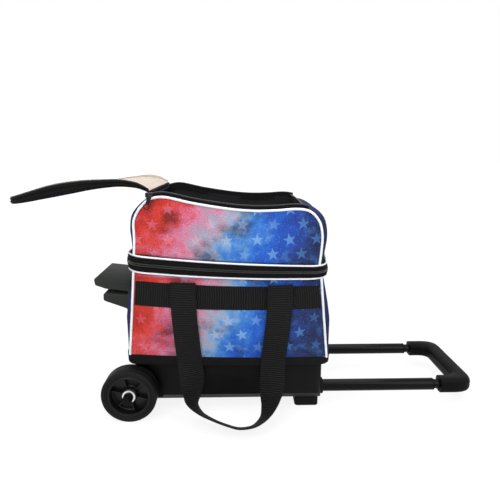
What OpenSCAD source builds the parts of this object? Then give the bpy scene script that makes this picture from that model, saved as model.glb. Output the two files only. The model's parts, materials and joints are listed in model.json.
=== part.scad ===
// Rolling bowling bag lying on its wheels and feet, with its pull handle drawn out and its shoe flap open.
// X runs from the open flap to the grip, Y from front to back, Z up from the floor.

/* [Wheels and axle] */
// Wheel diameter
wheel_d = 101.6; // [96:0.1:106]
// Wheel width over the tyre
wheel_w = 36; // [32:1:38]
// How much the distance over the two tyres exceeds the depth of the tray
wheel_outset = 57; // [55:1:61]
// Diameter at which the tyre sits on the rim
rim_d = 79; // [74:1:84]
// Diameter of the hub boss
hub_d = 28; // [26:1:34]
// Thin ribs in each rim
rim_ribs = 6; // [4:1:8]
// Axle diameter
axle_d = 8; // [6:0.5:9]
// How far the axle line lies outside the end of the tray
axle_overhang = 8; // [7:1:11]

/* [Base tray] */
// Length of the tray
tray_l = 350; // [340:1:354]
// Depth of the tray from front to back
tray_d = 226; // [222:1:230]
// Height of the tray's underside above the floor
ground_gap = 24; // [20:1:28]
// Wall thickness of the tray
tray_wall = 3; // [2.5:0.1:3.5]
// Slanted lower edge of the tray
tray_bevel = 16; // [12:1:17]
// Length of each rest foot
foot_l = 46; // [40:1:52]
// Depth of each rest foot
foot_w = 34; // [28:1:38]

/* [Bag body] */
// How far the fabric body stands out from the front and back of the tray
body_lap = 7; // [6:0.5:10]
// How far the foot of the body stands out from each end of the tray
foot_lap = 6; // [5:0.5:10]
// How much the body narrows at each end from its foot to the main zip
body_taper = 15; // [13:1:17]
// Height of the lower panels
lower_h = 156; // [150:1:162]
// Thickness of the padded panels
panel_t = 6; // [5:0.5:7]
// How far the side panels bulge outward
side_bulge = 18; // [13:1:20]
// How far the stuffed front stands out in its middle
front_belly = 20; // [15:1:22]
// How far the stuffed back stands out below the main zip
back_belly = 10; // [7:1:12]
// Height of the trim binding over the tray's rim
trim_h = 17; // [15:1:20]
// Height of each half of the main zip band
zip_half_h = 11.8; // [11:0.2:13]
// How far the zip band stands out from the panels
zip_out = 8; // [7:0.5:9]
// Radius of the white piping on the panel edges
piping_r = 3; // [2.5:0.1:3.4]

/* [Shoe section] */
// Height of the upper front panel at its left end
upper_left_h = 109; // [105:1:117]
// Height of the upper front panel at its right end
upper_right_h = 89; // [85:1:95]
// How far each end of the upper panels lies inside the lower ones
upper_inset = 2; // [0:0.5:4]
// Radius of the upper corners
shoulder_r = 42; // [36:1:46]
// Height of the flap hinge above the left end of the rim
hinge_rise = 10; // [9:1:14]
// Length of the shoe flap
flap_l = 262; // [250:1:264]
// Rise in the middle of the flap
flap_arch = 12; // [7:1:13]
// How far the open flap hangs below level, in degrees
flap_droop = 6; // [3:1:8]
// Height of the zip skirt round the flap
skirt_h = 16; // [12:1:17]

/* [Pull handle] */
// Distance of the tube lines from the front and back of the tray
tube_inset = 30; // [29:1:33]
// Outside diameter of the fixed tubes
fixed_od = 25.4; // [25:0.1:26.4]
// Outside diameter of the middle tubes
mid_od = 23; // [22.4:0.1:23]
// Outside diameter of the inner tubes
inner_od = 18; // [17:0.1:18]
// Wall of the middle and inner tubes
tube_wall = 1; // [0.8:0.1:1]
// Length of each middle tube
mid_len = 270; // [266:1:274]
// How far the middle tubes stand out of the tray
mid_out = 223; // [215:1:226]
// Gap left between the middle tubes and the grip
grip_gap = 14; // [12:1:20]
// Width of each leg of the grip
grip_leg_w = 30; // [26:1:34]
// Length of the grip along the tubes
grip_l = 66; // [62:1:72]
// Height of the grip
grip_h = 30; // [26:1:34]
// Length of the release button
button_l = 40; // [30:1:50]

/* [Webbing] */
// Height of the webbing band across the front
band_w = 44; // [42:1:48]
// Width of the carry straps
strap_w = 45; // [38:1:48]
// Thickness of the webbing
web_t = 2.4; // [2:0.1:2.6]
// Distance between the strap's sewn ends
strap_pitch = 169; // [150:1:180]

/* [Stand bracket] */
// Width of the stand bracket
bracket_w = 117; // [100:1:130]
// Reach of the bracket's upper fin
bracket_reach = 70; // [62:1:76]
// Tilt of the bracket on the sloping side, in degrees
bracket_tilt = 6; // [4:1:8]

/* [Fits] */
// Gap between pieces that move past each other
run_gap = 0.3; // [0.25:0.05:0.35]
// Radial gap of the wheel bearings
bearing_gap = 0.05; // [0.03:0.01:0.08]

/* [Hidden] */
$fn = 64;

// Small sizes that the pieces share
seat_gap = 0.05;
sewn_gap = 0.25;
cut = 1;
board_t = 4;
corner_steps = 6;
tray_corner_r = 14;
trim_lap = 3;
wheel_side_gap = 3.5;
wheel_arch_gap = 9;
wheel_head_gap = 2.4;
screw_r = 2;
screw_head_r = 4;
screw_head_h = 2;

// Wheel and axle places
wheel_r = wheel_d / 2;
wheel_track = tray_d + wheel_outset;
axle_x = -tray_l / 2 - axle_overhang;
axle_z = wheel_r;
tyre_face_y = wheel_track / 2;
tyre_back_y = tyre_face_y - wheel_w;
hub_face_y = tyre_face_y - 5.5;
bush_r = axle_d / 2 + 2.5;
washer_t = 2;
washer_r = hub_d / 2 - 2;
cap_r = axle_d / 2 + 5;
cap_l = 20;
axle_half = hub_face_y + washer_t + cap_l - 7;
well_y = tyre_back_y - wheel_side_gap;
arch_r = wheel_r + wheel_arch_gap;
housing_half = well_y - tray_wall - 1;
housing_r = 15;

// Heights
tray_z0 = ground_gap;
trim_z0 = wheel_d + wheel_head_gap;
trim_z1 = trim_z0 + trim_h;
tray_z1 = trim_z1 - trim_lap;
tube_z = tray_z0 + tray_wall + run_gap + fixed_od / 2;
board_z0 = tube_z + fixed_od / 2 + run_gap;
board_z1 = board_z0 + board_t;
cup_h = 18;
cup_r = 88;
cup_hole_r = 58;
zip_z0 = trim_z1 + lower_h;
zip_split = 0.4;
zip_mid = zip_z0 + zip_half_h;
zip_z1 = zip_mid + zip_split + zip_half_h;
piping_strip = 3;
rim_left = zip_z1 + upper_left_h;
rim_right = zip_z1 + upper_right_h;
hinge_z = rim_left + hinge_rise;

// Body places
foot_hw = tray_l / 2 + foot_lap;
zip_hw = foot_hw - body_taper;
half_d = tray_d / 2 + body_lap;
in_d = half_d - panel_t;
band_half_l = zip_hw + zip_out;
band_half_d = half_d + zip_out;
side_rise = [[0, 0.55], [0.4, 1], [1, 0.67]];
foot_bulge = side_bulge * side_rise[0][1];
zip_bulge = side_bulge * side_rise[2][1];
zip_corner_r = 18;
upper_hw = zip_hw - upper_inset;
shoulder_lean = 4;
top_x = upper_hw - shoulder_lean - shoulder_r;
belly_hw = upper_hw - 2 * piping_r - 1;
rim_slope = atan((rim_left - rim_right) / (2 * top_x));
flap_hw = in_d - 6;
hinge_x = -top_x - 15;
hinge_r = 2;
flap_tip_r = 50;
flap_t = 4;
lining_t = 1.5;
skirt_t = 3;
tape_t = 2.5;

// Handle places
tube_y = tray_d / 2 - tube_inset;
tray_end = tray_l / 2;
fixed_id = mid_od + 2 * run_gap;
fixed_x0 = 63 - tray_end;
fixed_x1 = tray_end - tray_wall;
mid_id = mid_od - 2 * tube_wall;
mid_x1 = tray_end + mid_out;
mid_x0 = mid_x1 - mid_len;
inner_id = inner_od - 2 * tube_wall;
grip_x0 = mid_x1 + grip_gap;
grip_x1 = grip_x0 + grip_l;
socket_l = 20;
inner_x1 = grip_x0 + socket_l;
inner_x0 = mid_x0 + 34;
grip_w = 2 * tube_y + grip_leg_w;
grip_bar_w = 32;
bar_x0 = grip_x1 - grip_bar_w;
room_x0 = bar_x0 + 3;
room_x1 = bar_x0 + 24;
room_hy = tube_y + 8;
room_hz = 4.5;
yoke_x0 = bar_x0 + 12;
yoke_x1 = bar_x0 + 18;
yoke_hz = 4;
rod_r = 2.5;
button_hz = 6;
button_out = 3;

// Webbing places
band_drop = 13;
band_z1 = zip_z0 - piping_strip - band_drop;
band_z0 = band_z1 - band_w;
band_face = half_d + 2;
strap_mid_x = 6.7;
strap_y = band_face + 1.5 * web_t;
strap_pivot_z = band_z0 - 2;

// Zip sliders
slider_l = 14;
slider_w = 8.4;
slider_h = 8;
pull_l = 24;
pull_w = 8;
pull_t = 2.4;
shoe_slider_x = hinge_x + 1;
shoe_slider_z = rim_left + (slider_l / 2 - top_x - shoe_slider_x) * tan(rim_slope) + run_gap;
shoe_slider_y = -in_d - run_gap;
pull_stem = piping_r + 2;
shoe_pull_y = shoe_slider_y - slider_w - pull_stem - run_gap;
main_slider_y = band_half_d - 68;
main_slider_x = band_half_l + zip_bulge + run_gap;

// The whole object is centred along X over its own length
flap_tip_x = hinge_x - flap_l * cos(flap_droop) - (flap_t - hinge_r / 2 + skirt_h) * sin(flap_droop);
frame_x = -(flap_tip_x + grip_x1 + button_out) / 2;

function arc(c, r, a0, a1) =
  [for (i = [0:corner_steps]) let (a = a0 + (a1 - a0) * i / corner_steps) c + r * [cos(a), sin(a)]];

function round_rect(hx, hy, r) = concat(
  arc([hx - r, hy - r], r, 0, 90), arc([r - hx, hy - r], r, 90, 180),
  arc([r - hx, r - hy], r, 180, 270), arc([hx - r, r - hy], r, 270, 360));

module xz(y0, y1) {
  translate([0, y1, 0]) rotate([90, 0, 0]) linear_extrude(y1 - y0) children();
}

module yz(x0, x1) {
  translate([x0, 0, 0]) rotate([90, 0, 90]) linear_extrude(x1 - x0) children();
}

module slab(hx, hy, r, z0, z1) {
  translate([0, 0, z0]) linear_extrude(z1 - z0) polygon(round_rect(hx, hy, r));
}

// Share of a side's bulge that is left at the share u of the half depth
function end_curve(u) = 1 - pow(u, 6);

// A rounded rectangle whose front edge is bowed out and whose ends bulge by the given amounts
function stuffed_rect(hx, hy, r, bow, bulge) =
  let (steps = 16, end_steps = 10, face = [for (i = [1:steps - 1]) [(hx - r) * (2 * i / steps - 1), -hy]],
    end = [for (i = [1:end_steps - 1]) [hx, (hy - r) * (2 * i / end_steps - 1)]])
  [for (p = concat(
    end, arc([hx - r, hy - r], r, 0, 90), arc([r - hx, hy - r], r, 90, 180), -end,
    arc([r - hx, r - hy], r, 180, 270), face, arc([hx - r, r - hy], r, 270, 360)))
    [p[0] + sign(p[0]) * bulge * end_curve(p[1] / hy), p[1] - (p[1] < 0 ? bow * belly_curve(p[0]) : 0)]];

module stuffed_slab(hx, hy, r, bow, bulge, z0, z1) {
  translate([0, 0, z0]) linear_extrude(z1 - z0) polygon(stuffed_rect(hx, hy, r, bow, bulge));
}

module box(x0, x1, y0, y1, z0, z1) {
  translate([x0, y0, z0]) cube([x1 - x0, y1 - y0, z1 - z0]);
}

// A round bar along Y from the bag's middle outward on the given side
module rod_y(x, z, r, y0, y1, side) {
  translate([x, side * y0, z]) rotate([-90 * side, 0, 0]) cylinder(r = r, h = y1 - y0);
}

module rod_x(y, z, r, x0, x1) {
  translate([x0, y, z]) rotate([0, 90, 0]) cylinder(r = r, h = x1 - x0);
}

module both_sides() {
  for (side = [-1, 1]) scale([1, side, 1]) children();
}

// A closed skin from an outer and an inner grid of points with the same rows and columns
module thick_sheet(outer, inner) {
  rows = len(outer);
  cols = len(outer[0]);
  n = rows * cols;
  points = concat([for (r = outer) each r], [for (r = inner) each r]);
  faces = concat(
    [for (i = [0:rows - 2], j = [0:cols - 2]) let (a = i * cols + j)
      each [[a, a + cols, a + 1], [a + 1, a + cols, a + cols + 1]]],
    [for (i = [0:rows - 2], j = [0:cols - 2]) let (a = n + i * cols + j)
      each [[a, a + 1, a + cols], [a + 1, a + cols + 1, a + cols]]],
    [for (j = [0:cols - 2]) let (a = j, b = (rows - 1) * cols + j)
      each [[a, a + 1, n + a], [a + 1, n + a + 1, n + a], [b, n + b, b + 1], [b + 1, n + b, n + b + 1]]],
    [for (i = [0:rows - 2]) let (a = i * cols, b = a + cols - 1)
      each [[a, n + a, a + cols], [a + cols, n + a, n + a + cols],
        [b, b + cols, n + b], [b + cols, n + b + cols, n + b]]]);
  polyhedron(points, faces);
}

// A closed bar through rings of points with the same count
module ring_bar(rings) {
  n = len(rings);
  k = len(rings[0]);
  points = [for (r = rings) each r];
  last = (n - 1) * k;
  faces = concat(
    [for (i = [0:n - 2], j = [0:k - 1]) let (a = i * k + j, b = i * k + (j + 1) % k)
      each [[a, a + k, b], [b, a + k, b + k]]],
    [for (j = [1:k - 2]) [0, j, j + 1]],
    [for (j = [1:k - 2]) [last, last + j + 1, last + j]]);
  polyhedron(points, faces);
}

function unit(v) = v / norm(v);

// Base

function tray_outline(w) =
  let (h = tray_d / 2 - w, f = tray_z0 + w, b = tray_bevel, e = w * (sqrt(2) - 1))
  [[-h, tray_z1 + cut], [-h, tray_z0 + b + e], [-tray_d / 2 + b + e, f],
    [tray_d / 2 - b - e, f], [h, tray_z0 + b + e], [h, tray_z1 + cut]];

module tray_form(w) {
  intersection() {
    yz(-tray_l / 2 + w, tray_l / 2 - w) polygon(tray_outline(w));
    slab(tray_l / 2 - w, tray_d / 2 - w, tray_corner_r - w, tray_z0, w > 0 ? tray_z1 + cut : tray_z1);
  }
}

module wheel_wells(extra) {
  for (side = [-1, 1]) rod_y(axle_x, axle_z, arch_r + extra, well_y - extra, well_y + wheel_w, side);
}

anchor_l = 28;
anchor_x = fixed_x0 + anchor_l / 2;
anchor_hw = 15;
housing_screw_y = 60;

module base_tray() {
  color([0.07, 0.07, 0.075])
  difference() {
    tray_form(0);
    difference() {
      tray_form(tray_wall);
      wheel_wells(tray_wall);
    }
    wheel_wells(0);
    for (side = [-1, 1]) {
      rod_x(side * tube_y, tube_z, fixed_od / 2 + 0.8, fixed_x1 - cut, tray_end + cut);
      translate([anchor_x, side * tube_y, 0]) cylinder(r = screw_r + 0.1, h = tray_z0 + tray_wall + cut);
      rod_x(side * housing_screw_y, axle_z, screw_r + 0.1, -tray_end - cut, -tray_end + tray_wall + cut);
    }
  }
}

module rest_feet() {
  color([0.06, 0.06, 0.065])
  for (side = [-1, 1])
    translate([tray_end - 2 - foot_l / 2, side * (tray_d / 2 - tray_bevel - 7 - foot_w / 2), 0])
      slab(foot_l / 2, foot_w / 2, 6, 0, tray_z0);
}

module axle_housing() {
  color([0.07, 0.07, 0.075])
  difference() {
    union() {
      for (side = [-1, 1]) {
        rod_y(axle_x, axle_z, housing_r, 0, housing_half, side);
        rod_y(axle_x, axle_z, axle_d / 2 + 5, 0, tyre_back_y - run_gap, side);
      }
      box(axle_x, -tray_end, -housing_half, housing_half, axle_z - housing_r + 2, axle_z + housing_r - 2);
    }
    box(-tray_end, -tray_end + 2 * housing_r, -tyre_face_y, tyre_face_y, 0, wheel_d);
    rod_y(axle_x, axle_z, axle_d / 2 + seat_gap, -tyre_face_y, tyre_face_y, 1);
    for (side = [-1, 1])
      rod_x(side * housing_screw_y, axle_z, screw_r + 0.1, -tray_end - 3.4, -tray_end + cut);
  }
}

module base_screws() {
  head_x = -tray_end + tray_wall;
  color([0.6, 0.6, 0.62])
  for (side = [-1, 1]) {
    rod_x(side * housing_screw_y, axle_z, screw_r, -tray_end - 3, head_x + screw_head_h);
    rod_x(side * housing_screw_y, axle_z, screw_head_r, head_x, head_x + screw_head_h);
    translate([anchor_x, side * tube_y, tray_z0 - screw_head_h]) {
      cylinder(r = screw_head_r, h = screw_head_h);
      cylinder(r = screw_r, h = screw_head_h + tray_wall);
    }
  }
}

module axle() {
  color([0.55, 0.56, 0.58])
  rod_y(axle_x, axle_z, axle_d / 2, -axle_half, axle_half, 1);
}

module axle_washers() {
  color([0.85, 0.86, 0.88])
  for (side = [-1, 1]) difference() {
    rod_y(axle_x, axle_z, washer_r, hub_face_y + run_gap, hub_face_y + run_gap + washer_t, side);
    rod_y(axle_x, axle_z, axle_d / 2 + seat_gap, hub_face_y - cut, hub_face_y + washer_t + cut, side);
  }
}

module axle_caps() {
  y0 = hub_face_y + run_gap + washer_t;
  color([0.05, 0.05, 0.055])
  for (side = [-1, 1]) difference() {
    union() {
      rod_y(axle_x, axle_z, cap_r, y0, y0 + cap_l - 5, side);
      rod_y(axle_x, axle_z, cap_r - 2, y0, y0 + cap_l, side);
    }
    rod_y(axle_x, axle_z, axle_d / 2 + seat_gap, y0 - cut, axle_half + seat_gap, side);
  }
}

// Outer surface of a lower side panel at depth y and height z
function side_x(y, z) =
  let (v = (z - trim_z1) / lower_h, u = y / in_d)
  foot_hw + (zip_hw - foot_hw) * v + side_bulge * end_curve(u) * lookup(v, side_rise);

bracket_z = band_z0 + 5;
plate_top = 24;
plate_foot = -46;
plate_t = 4;
fin_t = 14;
fin_gap = 7;
low_fin_in = 19;
low_fin_t = 17;
fin_root = plate_top - fin_t - 6;
bracket_x = max([for (d = [plate_foot:2:plate_top])
  side_x(0, bracket_z + d) + d * tan(bracket_tilt)]) + run_gap;

module on_bracket() {
  translate([-bracket_x, 0, bracket_z]) rotate([0, bracket_tilt, 0]) children();
}

module stand_bracket() {
  h = plate_top;
  p = -plate_t;
  r = -bracket_reach;
  low = r + low_fin_in;
  low_z1 = fin_root - fin_gap;
  low_z0 = low_z1 - low_fin_t;
  color([0.10, 0.105, 0.10])
  on_bracket() xz(-bracket_w / 2, bracket_w / 2) polygon([
    [0, plate_foot], [0, h], [p, h + 1], [r + 4, h + 2], [r, h - 3], [r + 3, h - fin_t],
    [low + 4, fin_root + 1], [p, fin_root], [p, low_z1], [low + 3, low_z1], [low, low_z1 - 4],
    [low + 1, low_z0 + 2], [low + 5, low_z0], [p, low_z0 - 11], [p, plate_foot + 2]]);
}

module bracket_rivets() {
  color([0.5, 0.5, 0.52])
  on_bracket() for (y = [-45, -15, 15, 45])
    rod_x(y, fin_root - fin_gap / 2, 3, -plate_t - 1.8, -plate_t);
}

module floor_board() {
  color([0.16, 0.16, 0.17])
  difference() {
    slab(tray_end - tray_wall - run_gap, tray_d / 2 - tray_wall - run_gap, tray_corner_r - tray_wall,
      board_z0, board_z1);
    wheel_wells(tray_wall + run_gap);
    translate([-tray_end, 0, axle_z]) for (side = [-1, 1])
      box(0, tray_wall + screw_head_h + 1, side * housing_screw_y - 6, side * housing_screw_y + 6, -9, 9);
  }
}

module ball_cup() {
  color([0.2, 0.2, 0.21])
  translate([0, 0, board_z1]) rotate_extrude() polygon([
    [cup_hole_r, 0], [cup_r, 0], [cup_r, cup_h - 4], [cup_r - 4, cup_h], [cup_hole_r + 14, cup_h]]);
}

module fixed_tubes() {
  color([0.45, 0.46, 0.48])
  for (side = [-1, 1]) difference() {
    rod_x(side * tube_y, tube_z, fixed_od / 2, fixed_x0, fixed_x1);
    rod_x(side * tube_y, tube_z, fixed_id / 2, fixed_x0 - cut, fixed_x1 + cut);
  }
}

module tube_anchors() {
  color([0.09, 0.09, 0.095])
  for (side = [-1, 1]) difference() {
    intersection() {
      box(fixed_x0, fixed_x0 + anchor_l, side * tube_y - anchor_hw, side * tube_y + anchor_hw,
        tray_z0, board_z0);
      tray_form(tray_wall + seat_gap);
    }
    rod_x(side * tube_y, tube_z, fixed_od / 2 + seat_gap, fixed_x0 - cut, fixed_x0 + anchor_l + cut);
  }
}

module tube_collars() {
  color([0.08, 0.08, 0.085])
  for (side = [-1, 1]) difference() {
    union() {
      rod_x(side * tube_y, tube_z, fixed_od / 2 + 0.7, fixed_x1, tray_end + cut);
      rod_x(side * tube_y, tube_z, fixed_od / 2 + 2.8, tray_end, tray_end + 6);
    }
    rod_x(side * tube_y, tube_z, fixed_id / 2, fixed_x1 - cut, tray_end + 7);
  }
}

// Fabric body

// Share of a stuffed panel's bow that is left across the bag at x
function belly_curve(x) = max(0, 1 - pow(x / belly_hw, 2));

// Shares of the bow up the lower panels, from the floor to the main zip
front_swell = [[-0.6, 0], [0, 0.35], [0.25, 0.75], [0.55, 1], [1, 1]];
back_swell = [[-0.6, 0], [0, 0.1], [0.25, 0.75], [0.55, 1], [0.9, 1], [1, 0]];

function swell_at(z, swell) = lookup((z - trim_z1) / lower_h, swell);

function lower_bow(x, z, bow, swell) = bow * belly_curve(x) * swell_at(z, swell);

// A sheet that follows a stuffed lower face between two lifts, with its corners at the given rows [z, x0, x1]
module lower_sheet(rows, cols, bow, swell, outer, inner) {
  function skin(lift) = [for (r = rows) [for (j = [0:cols])
    let (x = r[1] + (r[2] - r[1]) * j / cols) [x, -half_d - lower_bow(x, r[0], bow, swell) - lift, r[0]]]];
  thick_sheet(skin(outer), skin(inner));
}

module trim_band() {
  color([0.05, 0.05, 0.055])
  difference() {
    stuffed_slab(foot_hw, half_d, 10, front_belly * front_swell[1][1], foot_bulge, trim_z0, trim_z1);
    slab(tray_end, tray_d / 2, tray_corner_r, trim_z0 - cut, trim_z1 + cut);
  }
}

module lower_panel(bow, swell) {
  shares = [0, 0.12, 0.25, 0.4, 0.55, 0.9, 1];
  rows = [for (v = shares) let (hw = foot_hw + (zip_hw - foot_hw) * v) [trim_z1 + lower_h * v, -hw, hw]];
  lower_sheet(rows, 28, bow, swell, 0, -panel_t);
}

module lower_front_panel() {
  color([0.45, 0.2, 0.45]) lower_panel(front_belly, front_swell);
}

module lower_back_panel() {
  color([0.45, 0.2, 0.45]) scale([1, -1, 1]) lower_panel(back_belly, back_swell);
}

side_rows = 9;
side_cols = 13;

module lower_side() {
  grid = [for (i = [0:side_rows - 1]) [for (j = [0:side_cols - 1])
    let (z = trim_z1 + lower_h * i / (side_rows - 1), y = in_d * (2 * j / (side_cols - 1) - 1))
    [side_x(y, z), y, z]]];
  thick_sheet(grid, [for (r = grid) [for (p = r) p - [panel_t, 0, 0]]]);
}

module lower_left_side() {
  color([0.05, 0.06, 0.16]) scale([-1, 1, 1]) lower_side();
}

module lower_right_side() {
  color([0.05, 0.06, 0.16]) lower_side();
}

module web_band(bow, swell) {
  hw = zip_hw - 2 * piping_r - 1;
  rows = [for (z = [band_z0:band_w / 4:band_z1]) [z, -hw, hw]];
  lower_sheet(rows, 28, bow, swell, band_face - half_d, sewn_gap);
}

module web_bands() {
  color([0.05, 0.05, 0.055]) {
    web_band(front_belly, front_swell);
    scale([1, -1, 1]) web_band(back_belly, back_swell);
  }
}

module strap_end_pair(bow, swell) {
  lift = band_face - half_d + sewn_gap;
  top = band_z1 + 4;
  for (end = [-1, 1]) {
    x0 = strap_mid_x + (end * strap_pitch - strap_w) / 2;
    lower_sheet([for (z = [band_z0, band_z1, top]) [z, x0, x0 + strap_w]], 6, bow, swell, lift + web_t, lift);
  }
}

module strap_ends() {
  color([0.06, 0.06, 0.065]) {
    strap_end_pair(front_belly, front_swell);
    scale([1, -1, 1]) strap_end_pair(back_belly, back_swell);
  }
}

module lower_piping() {
  y = half_d + piping_r + sewn_gap;
  z0 = trim_z1 + 0.5;
  z1 = zip_z0 - piping_strip - 0.5;
  lean = atan((foot_hw - zip_hw) / lower_h);
  color([0.9, 0.9, 0.88]) {
    both_sides() for (end = [-1, 1]) scale([end, 1, 1]) translate([foot_hw - piping_r, -y, z0])
      rotate([0, -lean, 0]) cylinder(r = piping_r, h = (z1 - z0) / cos(lean));
    zip_strip(zip_z0 - piping_strip);
  }
}

// A ring round the bag at the main zip, bowed with the stuffed front
module zip_ring(in_hx, in_hy, z0, z1) {
  difference() {
    stuffed_slab(band_half_l, band_half_d, zip_corner_r, front_belly, zip_bulge, z0, z1);
    stuffed_slab(in_hx, in_hy, zip_corner_r - panel_t, front_belly, zip_bulge, z0 - cut, z1 + cut);
  }
}

module zip_hoop(z0, z1) {
  zip_ring(zip_hw - panel_t, in_d, z0, z1);
}

module zip_strip(z0) {
  zip_ring(band_half_l - 4, band_half_d - 4, z0, z0 + piping_strip);
}

module lower_zip_band() {
  color([0.05, 0.05, 0.055]) zip_hoop(zip_z0, zip_mid);
}

module back_hinge_tape() {
  hw = band_half_l - zip_corner_r;
  color([0.05, 0.05, 0.055])
  box(-hw, hw, band_half_d, band_half_d + 1.6, zip_z0, zip_mid - 1);
}

// Wheels

module tyre(side) {
  h = wheel_w / 2;
  s = 5;
  translate([axle_x, side * (tyre_back_y + h), axle_z]) rotate([90, 0, 0]) rotate_extrude() polygon(concat(
    [[rim_d / 2, -h + 1], [rim_d / 2 + 2, -h]],
    arc([wheel_r - s, s - h], s, -90, 0),
    arc([wheel_r - s, h - s], s, 0, 90),
    [[rim_d / 2 + 2, h], [rim_d / 2, h - 1]]));
}

module rim(side) {
  r = rim_d / 2;
  web0 = tyre_back_y + 12;
  web1 = tyre_back_y + 18;
  face = tyre_face_y - 1.5;
  color([0.09, 0.09, 0.1])
  difference() {
    union() {
      difference() {
        rod_y(axle_x, axle_z, r, tyre_back_y + 1, face, side);
        rod_y(axle_x, axle_z, r - 5, web1, face + cut, side);
        rod_y(axle_x, axle_z, r - 5, tyre_back_y, web0, side);
      }
      rod_y(axle_x, axle_z, hub_d / 2, tyre_back_y, hub_face_y, side);
      for (i = [0:rim_ribs - 1]) translate([axle_x, 0, axle_z]) rotate([0, 15 + 360 * i / rim_ribs, 0])
        scale([1, side, 1]) box(hub_d / 2 - 1, r - 4, web1 - 1, hub_face_y - 4, -1, 1);
    }
    rod_y(axle_x, axle_z, bush_r + seat_gap, tyre_back_y - cut, hub_face_y + cut, side);
  }
}

module bush(side) {
  color([0.75, 0.75, 0.72])
  difference() {
    rod_y(axle_x, axle_z, bush_r, tyre_back_y, hub_face_y, side);
    rod_y(axle_x, axle_z, axle_d / 2 + bearing_gap, tyre_back_y - cut, hub_face_y + cut, side);
  }
}

module front_tyre() {
  color([0.04, 0.04, 0.045]) tyre(-1);
}

module front_rim() {
  rim(-1);
}

module front_bush() {
  bush(-1);
}

module back_tyre() {
  color([0.04, 0.04, 0.045]) tyre(1);
}

module back_rim() {
  rim(1);
}

module back_bush() {
  bush(1);
}

// Pull handle

plug_t = 6;
bush_l = 18;

module mid_tubes() {
  color([0.04, 0.04, 0.05])
  for (side = [-1, 1]) difference() {
    rod_x(side * tube_y, tube_z, mid_od / 2, mid_x0, mid_x1);
    rod_x(side * tube_y, tube_z, mid_id / 2, mid_x0 - cut, mid_x1 + cut);
  }
}

module mid_tube_bushes() {
  color([0.06, 0.06, 0.065])
  for (side = [-1, 1]) difference() {
    union() {
      rod_x(side * tube_y, tube_z, mid_od / 2, mid_x1, mid_x1 + 2);
      rod_x(side * tube_y, tube_z, mid_id / 2 - seat_gap, mid_x1 - bush_l, mid_x1 + cut);
    }
    rod_x(side * tube_y, tube_z, inner_od / 2 + run_gap, mid_x1 - bush_l - cut, mid_x1 + 2 + cut);
  }
}

module mid_tube_plugs() {
  color([0.2, 0.2, 0.21])
  for (side = [-1, 1]) {
    rod_x(side * tube_y, tube_z, mid_od / 2, mid_x0 - plug_t, mid_x0);
    rod_x(side * tube_y, tube_z, mid_id / 2 - seat_gap, mid_x0 - cut, mid_x0 + plug_t);
  }
}

module inner_tubes() {
  color([0.04, 0.04, 0.05])
  for (side = [-1, 1]) difference() {
    rod_x(side * tube_y, tube_z, inner_od / 2, inner_x0, inner_x1);
    rod_x(side * tube_y, tube_z, inner_id / 2, inner_x0 - cut, inner_x1 + cut);
  }
}

module inner_tube_plugs() {
  color([0.2, 0.2, 0.21])
  for (side = [-1, 1]) {
    rod_x(side * tube_y, tube_z, mid_id / 2 - run_gap, inner_x0 - plug_t, inner_x0);
    rod_x(side * tube_y, tube_z, inner_id / 2 - seat_gap, inner_x0 - cut, inner_x0 + 3);
  }
}

function grip_plan() =
  let (hy = grip_w / 2, iy = hy - grip_leg_w, x0 = grip_x0, x1 = grip_x1, r = 18, s = 12)
  concat([[x0, -hy]], arc([x1 - r, r - hy], r, -90, 0), arc([x1 - r, hy - r], r, 0, 90), [[x0, hy], [x0, iy]],
    arc([bar_x0 - s, iy - s], s, 90, 0), arc([bar_x0 - s, s - iy], s, 0, -90), [[x0, -iy]]);

module grip_half(z0, z1) {
  difference() {
    translate([0, 0, z0]) linear_extrude(z1 - z0) polygon(grip_plan());
    box(room_x0, room_x1, -room_hy, room_hy, tube_z - room_hz, tube_z + room_hz);
    box(room_x0, grip_x1 + cut, -button_l / 2 - run_gap, button_l / 2 + run_gap,
      tube_z - button_hz - run_gap, tube_z + button_hz + run_gap);
    for (side = [-1, 1]) {
      rod_x(side * tube_y, tube_z, inner_od / 2 + seat_gap, grip_x0 - cut, inner_x1);
      rod_x(side * tube_y, tube_z, rod_r + 0.6, inner_x1 - cut, room_x0 + cut);
      translate([grip_screw_x, side * grip_screw_y, tube_z - grip_h / 2 - cut])
        cylinder(r = screw_r + 0.1, h = grip_h / 2 + 7);
      translate([grip_screw_x, side * grip_screw_y, tube_z - grip_h / 2 - cut])
        cylinder(r = screw_head_r + 0.2, h = screw_head_h + 2);
    }
  }
}

grip_screw_x = grip_x1 - 5;
grip_screw_y = tube_y - 18;

module grip_upper() {
  color([0.07, 0.07, 0.075]) grip_half(tube_z, tube_z + grip_h / 2);
}

module grip_lower() {
  color([0.07, 0.07, 0.075]) grip_half(tube_z - grip_h / 2, tube_z);
}

module grip_screws() {
  color([0.3, 0.3, 0.32])
  for (side = [-1, 1]) translate([grip_screw_x, side * grip_screw_y, tube_z - grip_h / 2 + 1]) {
    cylinder(r = screw_head_r, h = screw_head_h - 2 * seat_gap);
    cylinder(r = screw_r, h = grip_h / 2 + 4);
  }
}

module release_button() {
  color([0.1, 0.1, 0.105])
  box(yoke_x1, grip_x1 + button_out, -button_l / 2, button_l / 2, tube_z - button_hz, tube_z + button_hz);
}

module release_yoke() {
  color([0.25, 0.25, 0.26])
  box(yoke_x0, yoke_x1, -tube_y - 6, tube_y + 6, tube_z - yoke_hz, tube_z + yoke_hz);
}

module release_rods() {
  color([0.6, 0.6, 0.62])
  for (side = [-1, 1]) rod_x(side * tube_y, tube_z, rod_r, inner_x0 + 10, yoke_x0);
}

module button_spring() {
  color([0.6, 0.6, 0.62]) rod_x(0, tube_z, 3.5, room_x0, yoke_x0);
}

// Shoe section

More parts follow.
